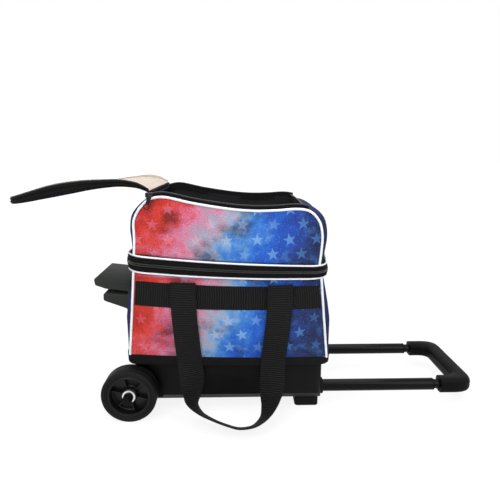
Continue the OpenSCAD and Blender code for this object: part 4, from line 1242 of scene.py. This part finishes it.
@dataclass
class ShoeSection:
    """The shoe section: printed faces with a wavy rim, gussets, rim zip and upper half of the main zip."""

    cord: float = 2.2
    tape: float = 14.0
    tape_thick: float = 1.6
    skirt_top: Point = (297.0, 3.6, BAG.zip_half + 5, 20.0)
    skirt_cut: Pair = (30.0, 0.8)
    skirt_sag: float = 0.002
    board_half: Pair = (0.148, 0.103)
    foot_ends: Pair = (-163.0, 161.0)
    gusset_foot: float = 162.0
    rim: tuple[Point, ...] = (
        (-150, 393), (-138, 405), (-126, 411), (-104, 412.5), (-60, 403), (-15, 395.5), (17, 391.5),
        (50, 389.5), (83, 390), (116, 392), (138, 389.5), (150, 382))
    end_tape: Pair = (133.4, 389.0)
    end_arch: Pair = (2.5, 70.0)
    end_half: int = 112
    body: ClassVar[str] = "shoe_section"
    printed: ClassVar[Padding] = Padding(Shop.PRINT, "print_fabric", "shoe_section", 0.6, creases=(1.6, 19.0))
    navy: ClassVar[Padding] = Padding(Shop.NAVY, "navy_fabric", "shoe_section", 0.6, 5.0, creases=(1.2, 16.0))
    zipper: ClassVar[MainZip] = MainZip("top", "upper", "shoe_section", BAG.zip_top, -1)
    rise: ClassVar[dict[End, Steps]] = {
        End.LEFT: ((-161, 340), (-161, 368), (-157, 381), (-150, 393)),
        End.RIGHT: ((164, 320), (165, 343), (162, 362), (157, 373), (150, 382))}
    shoulder: ClassVar[dict[End, Steps]] = {
        End.LEFT: ((-143, 402), (-134.5, 415.5)),
        End.RIGHT: ((143, 387), (135.5, 388.5))}
    bulge: ClassVar[dict[End, Steps]] = {
        End.LEFT: ((0.0, 14.0), (0.35, 17.0), (0.6, 13.0), (0.85, 5.0), (1.0, 0.0)),
        End.RIGHT: ((0.0, 14.0), (0.35, 17.0), (0.65, 17.0), (0.82, 10.0), (0.93, 3.0), (1.0, 0.0))}

    def foot(self, side: Side, x: float) -> Vector:
        """Foot of a face in X and Z, along the main zip."""
        z = BAG.zip_top + 1
        return Vector((x, z + BAG.lean(x, side.value * BAG.half_depth, z)))

    def edges(self, side: Side) -> tuple[Trace, Trace, Trace, Trace]:
        """The left, right, foot and rim lines of a face in X and Z."""
        left, right = (self.foot(side, x) for x in self.foot_ends)
        return (Trace([left, *self.rise[End.LEFT]]), Trace([right, *self.rise[End.RIGHT]]),
                Trace([left, self.foot(side, 0.0), right]), Trace(self.rim))

    def build(self) -> None:
        """Builds and dresses every piece of the section."""
        for side in Side:
            self.face_panel(side)
        for end in End:
            self.gusset(end)
        self.zipper.sew()
        self.floor_skirt()
        self.rim_zip()
        self.piping()

    def out(self, side: Side, x: float, z: float, out: float = 0.0) -> Vector:
        """Point on the face at a place that already hangs as it should."""
        return at(x, side.value * (BAG.half_depth + BAG.belly(side, x, z) + out), z)

    def face_panel(self, side: Side) -> None:
        """A printed padded panel between the zip and the rim, blended from its four edges."""
        left, right, foot, rim = self.edges(side)

        def flat(u: float, v: float) -> Vector:
            """Place in X and Z inside the four edges."""
            a, b, c, d = left.at(v), right.at(v), foot.at(u), rim.at(u)
            sides = [line.at(0) * (1 - v) + line.at(1) * v for line in (left, right)]
            return a * (1 - u) + b * u + c * (1 - v) + d * v - (sides[0] * (1 - u) + sides[1] * u)

        def place(u: float, v: float) -> Vector:
            """Point on the panel's outer face."""
            spot = flat(u if side is Side.FRONT else 1 - u, v)
            return self.out(side, spot.x, spot.y)

        outline = [self.out(side, p.x, p.y) for line in (left, right, foot, rim)
                   for p in (line.at(step / 40) for step in range(41))]

        def seam(co: Vector) -> float:
            """Distance from the sewn edges."""
            return math.sqrt(min((co.x - p.x) ** 2 + (co.z - p.z) ** 2 for p in outline)) * 1000

        self.printed.sew(f"upper_{side.word}_print", f"upper_{side.word}_panel", (64, 24), place, seam, 0.011,
                         21.0 + side.value)

    def gusset(self, end: End) -> None:
        """A navy end panel that rolls over the shoulder between the two faces."""
        lines = {side: Trace([self.foot(side, end.value * self.gusset_foot), *self.rise[end],
                              *self.shoulder[end]]) for side in Side}
        depth = BAG.half_depth - 2

        def place(u: float, v: float) -> Vector:
            """Point on the panel's outer face."""
            across = end.value * (2 * u - 1)
            side = Side.FRONT if across < 0 else Side.BACK
            edge = lines[side].at(v)
            spot = lines[Side.FRONT].at(v).lerp(lines[Side.BACK].at(v), ease((across + 1) / 2))
            way = lines[Side.FRONT].along(v)
            out = Vector((way.y, -way.x)) * end.value
            spot = spot + out * (ladder(self.bulge[end], v) * (1 - abs(across) ** 6))
            return at(spot.x, across * (depth + BAG.belly(side, edge.x, edge.y)), spot.y)

        def seam(co: Vector) -> float:
            """Distance from the faces, the zip and the rim."""
            return min(depth - abs(co.y) * 1000, (co.z * 1000 - BAG.zip_top) + 4,
                       (abs(co.x - TRAY_X) * 1000 - 133) if co.z > 0.37 else 99.0)

        self.navy.sew(f"upper_{end.word}_gusset", f"upper_{end.word}_side", (36, 30), place, seam,
                      seed=31.0 + end.value)

    def floor_skirt(self) -> None:
        """Black cloth that joins the divider board to the zip all round and so closes the floor."""
        rim = BAG.hoop(*self.skirt_top)
        count, steps = len(rim), 6
        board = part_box("divider_board")[1].z + 0.0006

        def place(u: float, v: float) -> Vector:
            """Point round the skirt and in from the zip."""
            edge = rim[round(u * count) % count]
            wide, deep = self.board_half
            x, y = max(-wide, min(wide, edge.x - TRAY_X)), max(-deep, min(deep, edge.y))
            sag = Vector((0, 0, self.skirt_sag * math.sin(v * math.pi)))
            return edge.lerp(Vector((TRAY_X + x, y, board)), v) - sag

        obj = Bench.sheet("shoe_floor_skirt", count, steps, place, (1.16, 0.03), weld=True)
        Bench.smooth(Bench.thicken(obj, self.skirt_cut[1], 0.0), 50)
        sewn(hand_in(obj, Shop.BLACK, "black_fabric", self.body), *self.skirt_cut, "divider_board")

    def rim_strip(self, line: list[Vector], foot: float, length: float) -> tuple[Piece, Piece]:
        """Zip tape that stands on a line.

        Args:
            line: Points along the tape in metres.
            foot: Height of its lower edge over the line in millimetres.
            length: Length of its UV map in metres.

        Returns:
            The tape and its row of teeth.
        """
        last = len(line) - 1

        def place(u: float, v: float) -> Vector:
            """Point up and along the tape."""
            return line[round(v * last)] + Vector((0, 0, (foot + self.tape * u) / 1000))

        tape = Bench.sheet("rim_tape", 4, last, place, (self.tape / 1000, length))
        Bench.thicken(tape, self.tape_thick, 0.0)
        ridge = [p + Vector((0, 0, (foot + self.tape + 0.8) / 1000)) for p in line]
        return tape, Bench.tube("rim_teeth", ridge, 1.5, False, 8)

    def rim_zip(self) -> None:
        """Black tape with a row of teeth standing inside the rim on both faces and across the right end."""
        rim, steps, strips = Trace(self.rim), 60, []
        for side in Side:
            start = 0.1 if side is Side.FRONT else 0.03
            spots = [rim.at(start + (0.96 - start) * step / steps) for step in range(steps + 1)]
            strips.append(self.rim_strip([self.out(side, p.x, p.y, -5.0) for p in spots], -7.0, 0.26))
        (x, z), (arch, wave) = self.end_tape, self.end_arch
        across = [at(x, y, z + arch * math.cos(y / wave))
                  for y in range(-self.end_half, self.end_half + 1, 8)]
        strips.append(self.rim_strip(across, -9.0, 0.22))
        tapes, chains = zip(*strips)
        tape = Bench.smooth(Bench.join("shoe_zip_cloth", tapes), 40)
        hand_in(tape, Shop.BLACK, "black_fabric", self.body, "shoe_zip_tape")
        sewn(tape, self.tape, self.tape_thick, "upper_front_print")
        hand_in(Bench.join("shoe_zip_teeth", chains), Shop.TEETH, "black_fabric", self.body)

    def piping(self) -> None:
        """White cord round the zip's upper edge and round each printed face."""
        parts = [self.zipper.piping()]
        for side in Side:
            left, right, _, rim = self.edges(side)
            spots = [left.at(step / 24) for step in range(24)] + [rim.at(step / 90) for step in range(91)]
            spots += [right.at(1 - step / 24) for step in range(1, 25)]
            parts.append(Bench.tube("piping_face", [self.out(side, p.x, p.y, 0.4) for p in spots], self.cord))
        obj = Bench.join("upper_white_piping", parts)
        hand_in(obj, Shop.CORDING, "white_piping", self.body, "upper_piping")


@dataclass
class ShoeFlap:
    """The open shoe flap: printed underneath, cream inside, with a ridged zip skirt that sags at its back."""

    hinge: Point = (-133.0, 420.0)
    length: float = 255.0
    half: float = 108.0
    tip: float = 50.0
    cover_thick: float = 4.0
    fold_thick: float = 0.8
    lining_flat: Pair = (0.212, 0.258)
    lining_cut: Pair = (12.0, 0.8)
    skirt_cut: Pair = (18.0, 2.0)
    steps: int = 150
    body: ClassVar[str] = "shoe_flap"
    sag: tuple[Point, ...] = (
        (-6, -4), (0, -2), (12, 3.2), (25, 7), (51, 9), (77, 7), (103, 3.2), (125, -1), (147, -5),
        (191, -13.6), (225, -19.5), (255, -23))
    skirt: tuple[Point, ...] = (
        (-6, 5), (0, 6), (25, 10), (51, 12.5), (82, 15), (125, 20), (169, 21.5), (213, 17), (240, 13.5),
        (255, 12))
    back_share: tuple[Point, ...] = (
        (-6, 1), (0, 1), (35, 0.85), (70, 0.5), (109, 0.4), (125, 0.4), (169, 0.6), (213, 0.85), (255, 1))
    fold: tuple[Point, ...] = (
        (-136.6, 409.0), (-135.9, 413.0), (-135.6, 417.0), (-135.9, 419.8), (-138.0, 421.6), (-142.0, 422.6))
    ridges: Steps = (
        (0.0, -0.4), (0.08, 0.8), (0.24, 1.2), (0.3, 2.2), (0.37, 1.4), (0.42, 0.8), (0.5, 0.6), (0.58, 0.8),
        (0.63, 1.4), (0.7, 2.2), (0.77, 1.2), (0.86, 0.8), (0.97, 0.2))

    def __post_init__(self) -> None:
        """Smooths the three given lines and lays out the skirt's run."""
        self.sag_line, self.skirt_line, self.share_line = (
            [(p.x, p.y) for p in Trace(steps).dense] for steps in (self.sag, self.skirt, self.back_share))
        reach = self.length - self.tip
        plan = [(d, -self.half) for d in (2.0, 60.0, 140.0, reach - 20, reach)]
        plan += [(reach + self.tip * math.sin(a), self.tip * (1 - math.cos(a)) - self.half)
                 for a in (math.radians(turn) for turn in (22, 45, 68, 90))]
        plan += [(self.length, -25.0), (self.length, 0.0)]
        plan += [(d, -y) for d, y in reversed(plan[:-1])]
        self.run = Trace(plan)

    def spot(self, d: float, y: float, up: float) -> Vector:
        """Point over the open flap's printed face, at a distance from the hinge."""
        return at(self.hinge[0] - d, y, self.hinge[1] + ladder(self.sag_line, d) + up)

    def width(self, d: float) -> float:
        """Half the flap's width at a distance from the hinge."""
        past = max(0.0, d - (self.length - self.tip))
        return self.half - self.tip + math.sqrt(max(0.0, self.tip ** 2 - past ** 2))

    def edge(self, share: float, rise: float, out: float) -> Vector:
        """Point of the skirt.

        Args:
            share: Place along its run, from the front of the hinge round the tip to the back.
            rise: Share of its height.
            out: Distance outward in millimetres.

        Returns:
            The point in metres.
        """
        p, way = self.run.at(share), self.run.along(share)
        slump = ease((p.y + self.half) / (2 * self.half))
        tall = ladder(self.skirt_line, p.x) * (1 + (ladder(self.share_line, p.x) - 1) * slump)
        out *= min(1.0, tall / 14)
        return self.spot(p.x + way.y * out, p.y - way.x * out, 0.8 + (tall - 0.8) * rise)

    def build(self) -> None:
        """Builds and dresses every piece of the flap."""
        self.cover()
        self.lining()
        self.zip_skirt()
        self.hinge_strip()

    def hinge_strip(self) -> None:
        """Black cloth sewn to the left gusset and under the cover, which folds round the hinge roll."""
        fold = Trace(self.fold)

        def place(u: float, v: float) -> Vector:
            """Point along the fold and across the flap."""
            p = fold.at(v)
            return at(p.x, (2 * u - 1) * (self.half + 8 - 8.5 * ease((v - 0.2) / 0.4)), p.y)

        obj = Bench.sheet("flap_hinge_cloth", 40, 24, place, (0.21, fold.length / 1000))
        Bench.smooth(Bench.thicken(obj, self.fold_thick, 0.0), 50)
        hand_in(obj, Shop.BLACK, "black_fabric", None)
        sewn(obj, fold.length, self.fold_thick, "upper_left_gusset", held="folded")
        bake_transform(obj)

    def layer(self, name: str, up: float, inset: float, start: float, facing: int) -> Piece:
        """A sheet of the flap over its printed face.

        Args:
            name: Name of the sheet.
            up: Its height over the printed face.
            inset: How far it stays inside the flap's edge.
            start: Distance of its first edge from the hinge.
            facing: 1 for up and -1 for down.

        Returns:
            The sheet.
        """
        def place(u: float, v: float) -> Vector:
            """Point on the sheet."""
            d = start + (self.length - inset - start) * v
            return self.spot(d, (2 * u - 1) * facing * (self.width(d + inset) - inset), up)

        obj = Bench.sheet(name, 36, 44, place)
        print_map(obj, lambda co: (TRAY_X + (self.hinge[0] - 150) / 1000 - co.x, co.y + 0.15))
        return obj

    def cover(self) -> None:
        """The printed padded panel, with its rolled edge on the hinge line."""
        obj = Bench.thicken(self.layer("flap_print", 0.0, 0.2, 0.2, -1), self.cover_thick)
        crumple(obj, 0.7, 16.0, 44.0)
        Bench.refine(obj)
        hand_in(obj, Shop.PRINT, "print_fabric", self.body, "flap_panel")
        line = [at(self.hinge[0], -self.half + self.half * step / 10, self.hinge[1]) for step in range(21)]
        hand_in(Bench.tube("flap_hinge_roll", line, 2.3), Shop.BLACK, "black_fabric", self.body)

    def lining(self) -> None:
        """The cream lining, slightly quilted, and its strip up the inside of the skirt."""
        obj = Bench.thicken(self.layer("flap_cream_lining", self.cover_thick + 1.2, 2.0, 0.2, 1), 1.0)
        crumple(obj, 0.5, 22.0, 47.0)
        Bench.refine(obj)
        hand_in(obj, Shop.CREAM, "lining", self.body, "flap_lining")

        def rise(u: float, v: float) -> Vector:
            """Point up the inside of the skirt and along it."""
            return self.edge(v, 0.1 + 0.94 * (1 - u), -1.7)

        strip = Bench.sheet("flap_skirt_lining", 5, 120, rise, (0.012, self.run.length / 1000))
        Bench.smooth(Bench.thicken(strip, self.lining_cut[1], 0.0), 50)
        sewn(hand_in(strip, Shop.CREAM, "lining", self.body), *self.lining_cut, "flap_zip_skirt")

    def zip_skirt(self) -> None:
        """The zip band that stands round the flap, with two ridges and a row of teeth."""
        last = len(self.ridges) - 1

        def place(u: float, v: float) -> Vector:
            """Point up and along the skirt."""
            return self.edge(v, *self.ridges[round(u * last)])

        size = (0.016, self.run.length / 1000)
        obj = Bench.sheet("flap_zip_skirt", last, self.steps, place, size)
        Bench.smooth(Bench.thicken(obj, self.skirt_cut[1], 0.0), 40)
        sewn(hand_in(obj, Shop.BLACK, "black_fabric", self.body, "flap_skirt"), *self.skirt_cut, "flap_print")
        line = [self.edge(step / self.steps, 0.93, 0.9) for step in range(self.steps + 1)]
        hand_in(Bench.tube("flap_zip_teeth", line, 1.2, False, 8), Shop.TEETH, "black_fabric", self.body)


@dataclass
class CarryStrap:
    """One webbing carry strap: sewn ends over the band and a loop that hangs to the floor."""

    side: Side
    width: float = 45.0
    thick: float = 2.4
    middle: float = 6.7
    pitch: float = 169.0
    pivot: float = 215.0
    tilt: float = math.radians(30)
    steps: int = 220
    route: tuple[Point, ...] = (
        (-0.5, 4.2, 49.6, 0), (-0.5, 4.2, 44, 0), (-0.5, 4.2, 20, 0), (-0.498, 4.9, 1, 0),
        (-0.492, 5.6, -20, 0), (-0.475, 5.8, -60, 0), (-0.458, 6.2, -98, 4), (-0.436, 8, -134, 20),
        (-0.436, 12, -158, 46), (-0.436, 21, -175, 68), (-0.35, 34, -186, 82), (-0.19, 47, -194, 90),
        (0, 58, -200, 92), (0.11, 61, -201, 90), (0.24, 57, -198, 84), (0.345, 45, -188, 72),
        (0.395, 31, -174, 52), (0.415, 19, -160, 30), (0.428, 10, -140, 12), (0.438, 6.2, -98, 0),
        (0.46, 5.8, -60, 0), (0.485, 5.6, -20, 0), (0.495, 4.9, 1, 0), (0.5, 4.2, 20, 0), (0.5, 4.2, 44, 0),
        (0.5, 4.2, 49.6, 0))

    def build(self) -> None:
        """Builds the strap as one ribbon."""
        points = []
        for share, out, drop, turn in self.route:
            x, z = self.middle + self.pitch * share, self.pivot + drop
            hold = ease((z - 20) / 110)
            lean = BAG.lean(x, self.side.value * BAG.half_depth, z) * ease((z - 60) / 100)
            reach = BAG.half_depth + out + BAG.belly(self.side, x, z) * hold + (1 - hold) * 3.6
            points.append((x, reach, z + lean, turn))
        line = Trace([p[:3] for p in points])
        marks = self.marks(line, points)
        order = [(mark, index / (len(marks) - 1)) for index, (mark, _) in enumerate(marks)]
        rows: list[tuple[Vector, Vector]] = []
        for share in (step / self.steps for step in range(self.steps + 1)):
            turn, way = math.radians(ladder(marks, share)), line.along(share)
            flip = 1.0 if ladder(order, share) < 0.5 else -1.0
            wide = Vector((flip * math.cos(turn), -math.sin(turn) * math.cos(self.tilt),
                           -math.sin(turn) * math.sin(self.tilt)))
            rows.append((line.at(share), (wide - way * wide.dot(way)).normalized()))

        def place(u: float, v: float) -> Vector:
            """Point across and along the strap."""
            spot, wide = rows[round(v * self.steps)]
            p = spot + wide * ((2 * u - 1) * self.width / 2)
            bow = BAG.belly(self.side, p.x, p.z) - BAG.belly(self.side, spot.x, spot.z)
            return at(p.x, self.side.value * (p.y + bow * ease((p.z - 120) / 90)), p.z)

        word = self.side.word
        size = (self.width / 1000, line.length / 1000)
        obj = Bench.thicken(Bench.sheet(f"{word}_carry_webbing", 6, self.steps, place, size), self.thick, 0.0)
        Bench.smooth(Bench.round_edges(obj, 0.7, 1), 40)
        nodes = [f"{word}_strap"] + (["strap_ends"] if self.side is Side.FRONT else [])
        hand_in(obj, Shop.WEB, "webbing", None, *nodes)
        sewn(obj, self.width, self.thick, "web_bands_sewn", held="hung")
        y = self.side.value * (BAG.half_depth + 5)
        tuple(at(self.middle, y, self.pivot + 6))
        tuple(at(self.middle, y, self.pivot - 8))
        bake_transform(obj)

    @staticmethod
    def marks(line: Trace, points: Sequence[Point]) -> list[Pair]:
        """Shares of the length at which the route's points lie, each with its turn."""
        return [(line.marks[index * line.RUNS] / line.length, point[3]) for index, point in enumerate(points)]


@dataclass
class Wheel:
    """One wheel: a tyre with two grooves round a dished rim with a double lip and thin ribs."""

    side: Side
    steps: int = 96
    ribs: int = 6
    first: float = 15.0
    rib_size: Point = (21.6, 9.5, 2.1)
    rib_reach: float = 0.0242
    rib_line: float = 0.1278
    tyre: Steps = (
        (39.5, 106.5), (41.5, 105.5), (46.5, 105.7), (49.6, 107.4), (50.8, 110.2), (50.8, 114), (50.2, 114.6),
        (50.2, 116), (50.8, 116.6), (50.8, 130.4), (50.2, 131), (50.2, 132.4), (50.8, 133), (50.8, 136.8),
        (49.6, 139.6), (46.5, 141.3), (43.4, 141.5), (42.8, 140.9), (42.2, 141.4), (40.6, 141.4),
        (39.5, 140.5))
    dish: Steps = (
        (6.55, 105.5), (13, 105.5), (14, 106.5), (14, 117.5), (34, 117.5), (34.5, 106.5), (39.4, 106.5),
        (39.4, 140), (38.4, 140.6), (37.2, 140.2), (36.6, 139.2), (36.2, 139.9), (35.2, 139.9), (34.6, 139),
        (34.2, 124.5), (33, 123.5), (15.5, 123.5), (14, 124.8), (14, 134.8), (13, 136), (6.55, 136))

    def build(self) -> None:
        """Builds and dresses the tread and the dished rim with its thin ribs."""
        word, body = self.side.word, f"{self.side.word}_wheel"
        tread = Bench.lathe(f"{word}_tread", self.side.turned(self.tyre), AXLE, steps=self.steps)
        hand_in(tread, Shop.TYRE, "tyre", body, f"{word}_tyre")
        parts = [Bench.lathe(f"{word}_dish", self.side.turned(self.dish), AXLE, steps=self.steps)]
        parts += [self.rib(math.radians(self.first + 360 / self.ribs * index)) for index in range(self.ribs)]
        rim = Bench.smooth(Bench.join(f"{word}_ribbed_rim", parts), 32)
        hand_in(rim, Shop.RIM, "wheel_plastic", body, f"{word}_rim")

    def rib(self, turn: float) -> Piece:
        """One thin rib from the hub to the lip."""
        obj = Bench.block("rib", self.rib_size, 0.5, 2)
        obj.data.transform(Matrix.Translation((self.rib_reach, self.side.value * self.rib_line, 0)))
        obj.data.transform(Matrix.Rotation(turn, 4, "Y"))
        obj.data.transform(Matrix.Translation(at(*AXLE)))
        return obj


@dataclass
class BaseTray:
    """The moulded base with its feet, axle housing, collars, washers and axle caps."""

    washer: Steps = ((4.1, 136.3), (11.2, 136.3), (12, 137), (12, 137.8), (11.2, 138.3), (4.1, 138.3))
    cap: Steps = (
        (4.1, 138.3), (9, 138.3), (9, 152), (8.4, 153.2), (7.2, 153.6), (7, 156.8), (6, 158.3), (0.4, 158.3),
        (0.4, 149.4), (4.1, 149.4))

    def build(self) -> None:
        """Builds and dresses the base."""
        for node, name, finish, slot, width in (
                ("base_tray", "moulded_tray", Shop.TRAY, "moulded_black", 1.6),
                ("rest_feet", "block_feet", Shop.FOOT, "rubber_foot", 2.2),
                ("axle_housing", "axle_bridge", Shop.TRAY, "moulded_black", 1.2),
                ("tube_collars", "collar_rings", Shop.TRAY, "moulded_black", 0.9),
                ("stand_bracket", "side_stand", Shop.BRACKET, "moulded_black", 2.4)):
            hand_in(Bench.cast(node, name, width), finish, slot, "bag_base", node)
        for side in Side:
            for word, profile, finish, slot, node in (
                    ("washer", self.washer, Shop.CHROME, "chrome", "axle_washers"),
                    ("cap", self.cap, Shop.TRAY, "moulded_black", "axle_caps")):
                obj = Bench.lathe(f"{side.word}_axle_{word}", side.turned(profile), AXLE, steps=48)
                hand_in(obj, finish, slot, "bag_base", *([node] if side is Side.FRONT else []))


@dataclass
class PullHandle:
    """The telescoping pull handle: two tube stages, their bushes, the U grip and its button."""

    line: float = 83.0
    height: float = 40.0
    section: Pair = (15.0, 3.2)
    groove: Pair = (0.09, 0.015)
    bush: Steps = (
        (9.3, 380), (10.4, 380), (10.4, 398), (11.5, 398), (11.7, 398.6), (11.4, 399.8), (10.4, 400),
        (9.3, 400))
    outer: Steps = (
        (412, -98), (430, -98), (448, -97.8), (462, -95), (472, -87.5), (477, -76), (478, -60), (478, -30),
        (478, 0))
    inner: Steps = (
        (412, -68), (420, -68), (429, -67.8), (437, -66), (442.5, -62), (445.4, -56), (446, -47), (446, -24),
        (446, 0))

    def pair(self, name: str, profile: Sequence[Pair]) -> Piece:
        """Two turned pieces as one, on the lines of the two tubes."""
        return Bench.join(name, [Bench.lathe(name, profile, (0, side.value * self.line, self.height), "X", 64)
                                 for side in Side])

    def build(self) -> None:
        """Builds and dresses the handle."""
        for word, body, outer, inner, start, stop in (("mid", "handle_middle", 11.5, 10.5, 128, 398),
                                                      ("inner", "handle_grip", 9.0, 8.0, 162, 432)):
            profile = ((outer, start), (outer, stop - 0.5), (outer - 0.4, stop),
                       (inner, stop), (inner, start))
            hand_in(self.pair(f"{word}_stage_tubes", profile), Shop.TUBE, "tube_black", body, f"{word}_tubes")
        bushes = self.pair("mid_stage_bushes", self.bush)
        hand_in(bushes, Shop.GRIP, "moulded_black", "handle_middle", "mid_tube_bushes")
        self.grip()
        button = Bench.cast("release_button", "push_button", 1.8)
        hand_in(button, Shop.GRIP, "moulded_black", "handle_release", "release_button")

    def grip(self) -> None:
        """The rounded U grip, swept along two bent rails and parted at its moulding seam."""
        rails = [Trace([*half, *((x, -y) for x, y in reversed(half[:-1]))]).dense
                 for half in (self.outer, self.inner)]
        steps, sides = len(rails[0]) - 1, 36
        (tall, square), (seam, deep) = self.section, self.groove

        def place(u: float, v: float) -> Vector:
            """Point round the section and along the grip."""
            far, near = (rail[round(v * steps)] for rail in rails)
            c, s = math.cos(u * math.tau), math.sin(u * math.tau)
            swell = (abs(c) ** square + abs(s) ** square) ** (-1 / square)
            groove = math.copysign(deep, c) if abs(s) < seam else 0.0
            p = near.lerp(far, 0.5 + 0.5 * swell * c - groove)
            return at(p.x, p.y, self.height + tall * swell * s)

        obj = Bench.cap(Bench.sheet("u_grip", sides, steps, place, (0.1, 0.28), weld=True))
        Bench.smooth(Bench.round_edges(obj, 1.2, 2, 60), 40)
        hand_in(obj, Shop.GRIP, "moulded_black", "handle_grip", "grip_upper", "grip_lower")


@dataclass
class ZipHardware:
    """Sliders and pull tabs of the two zips."""

    tab: Point = (-131.0, -132.0, 409.5)
    tab_size: Point = (6.6, 2.0, 16.5)
    askew: float = 20.0
    ring: Point = (-135.6, -132.0, 397.4)
    reach: float = 4.6

    def build(self) -> None:
        """Builds and dresses both sliders and both pulls."""
        for node, name, body, width in (("shoe_zip_slider", "shoe_slider_block", "shoe_slider", 1.6),
                                        ("main_zip_slider", "main_slider_block", "main_slider", 1.4)):
            hand_in(Bench.cast(node, name, width), Shop.ZIP, "zip_metal", body, node)
        main = Bench.cast("main_zip_pull", "main_pull_tab", 0.8, 2)
        hand_in(main, Shop.ZIP, "zip_metal", "main_pull", "main_zip_pull")
        self.shoe_pull()

    def shoe_pull(self) -> None:
        """A short tab that hangs askew from the shoe slider, with a wire ring in its end."""
        tab = Bench.block("shoe_pull_tab", self.tab_size, 0.8, 3)
        lean = Matrix.Rotation(math.radians(self.askew), 4, "Y")
        tab.data.transform(Matrix.Translation(at(*self.tab)) @ lean)
        x, y, z = self.ring
        loop = [at(x + self.reach * math.cos(a), y, z + self.reach * math.sin(a))
                for a in (math.tau * step / 28 for step in range(28))]
        obj = Bench.join("shoe_pull_tab", [tab, Bench.tube("shoe_pull_ring", loop, 1.0, True, 8)])
        hand_in(Bench.smooth(obj), Shop.ZIP, "zip_metal", "shoe_pull", "shoe_zip_pull")


@dataclass
class Inside:
    """CAD nodes that stay as they are, each with the finish of its slot."""

    finishes: ClassVar[dict[str, Shop]] = {
        "steel": Shop.STEEL, "tube_plain": Shop.STEEL, "board": Shop.BOARD, "nylon": Shop.FOAM,
        "bush_nylon": Shop.NYLON}

    def build(self) -> None:
        """Gives every CAD node that still shows a procedural finish."""
        slots = {part["node"]: part["material_slot"] for part in frame["record"]["subparts"]}
        for name, obj in frame["nodes"].items():
            if not obj.hide_render:
                obj.data.materials.clear()
                obj.data.materials.append(self.finishes[slots[name]].material)
                LOG.info("%s keeps its solid", name)


@dataclass
class Studio:
    """Pale floor, soft lamps and the camera at the photograph's angle."""

    lens: float = 33.06
    sensor: float = 36.0
    spot: Point = (20.32, -904.11, 490.14)
    pitch: float = 12.25
    yaw: float = 1.35
    glow: float = 1.08
    ambient: float = 0.36
    lamps: tuple[tuple[str, Point, Point, float, float], ...] = (
        ("key_lamp", (-500, -1300, 1500), (0, 0, 200), 1.2, 21.0),
        ("fill_lamp", (1100, -900, 1100), (50, 0, 150), 1.2, 9.0),
        ("top_lamp", (0, 150, 1700), (0, 0, 200), 1.6, 19.0))
    fade: Point = (0.5, 2.0, 0.8, 1.0)
    ground: Colour = (0.9, 0.9, 0.9, 1.0)
    white: Colour = (1.0, 1.0, 1.0, 1.0)

    def build(self) -> None:
        """Sets the camera, the floor, the lamps and the world."""
        scene = bpy.context.scene
        scene.view_settings.view_transform = "Standard"
        camera = bpy.data.cameras.new("photo_camera")
        camera.lens, camera.sensor_width, camera.clip_start = self.lens, self.sensor, 0.05
        eye = bpy.data.objects.new("photo_camera", camera)
        eye.location = at(*self.spot)
        eye.rotation_euler = (math.radians(90 - self.pitch), 0.0, -math.radians(self.yaw))
        scene.collection.objects.link(eye)
        scene.camera = eye
        self.floor()
        self.world()
        for name, place, aim, size, watts in self.lamps:
            lamp = bpy.data.lights.new(name, "AREA")
            lamp.size, lamp.energy = size, watts
            obj = bpy.data.objects.new(name, lamp)
            obj.location = at(*place)
            obj.rotation_euler = (at(*aim) - at(*place)).to_track_quat("-Z", "Y").to_euler()
            scene.collection.objects.link(obj)

    def floor(self) -> None:
        """A wide pale floor that shows white to the camera and keeps a soft shadow."""
        bpy.ops.object.select_all(action="DESELECT")
        bpy.ops.mesh.primitive_plane_add(size=30.0, location=(0, 0, 0))
        obj = Bench.take("pale_floor")
        dye = Dye("pale_floor")
        dye.dress(Base_Color=self.ground, Roughness=0.9, Specular_IOR_Level=0.1)
        glow = dye.node("ShaderNodeEmission", {}, {"Color": self.white, "Strength": self.glow})
        x, y, _ = dye.axes(dye.place())
        fade = dye.step((x * x + y * y).by("SQRT"), *self.fade)
        both = dye.node("ShaderNodeMixShader", {}, {0: dye.seen() * fade, 1: Wire(dye, dye.shader), 2: glow})
        dye.feed(dye.tree.nodes["Material Output"].inputs["Surface"], both)
        obj.data.materials.append(dye.material)

    def world(self) -> None:
        """Soft white surroundings, fully white where the camera or a reflection sees them."""
        world = bpy.data.worlds.new("studio")
        bpy.context.scene.world = world
        world.use_nodes = True
        sky = Nodes(world.node_tree)
        ground = sky.tree.nodes["Background"]
        sky.feed(ground.inputs["Color"], self.white)
        sky.feed(ground.inputs["Strength"], sky.step(sky.seen(), 0.0, 1.0, self.ambient, 1.0, "LINEAR"))


def main() -> None:
    """Builds the pieces in order."""
    logging.basicConfig(level=logging.INFO, format="%(message)s")
    for part in (Studio(), BaseTray(), Wheel(Side.FRONT), Wheel(Side.BACK), PullHandle(), LowerBody(),
                 ShoeSection(), ShoeFlap(), ZipHardware(), CarryStrap(Side.FRONT), CarryStrap(Side.BACK),
                 Inside()):
        part.build()
        LOG.info("%s is built", type(part).__name__)
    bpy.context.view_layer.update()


if __name__ == "__main__":
    main()
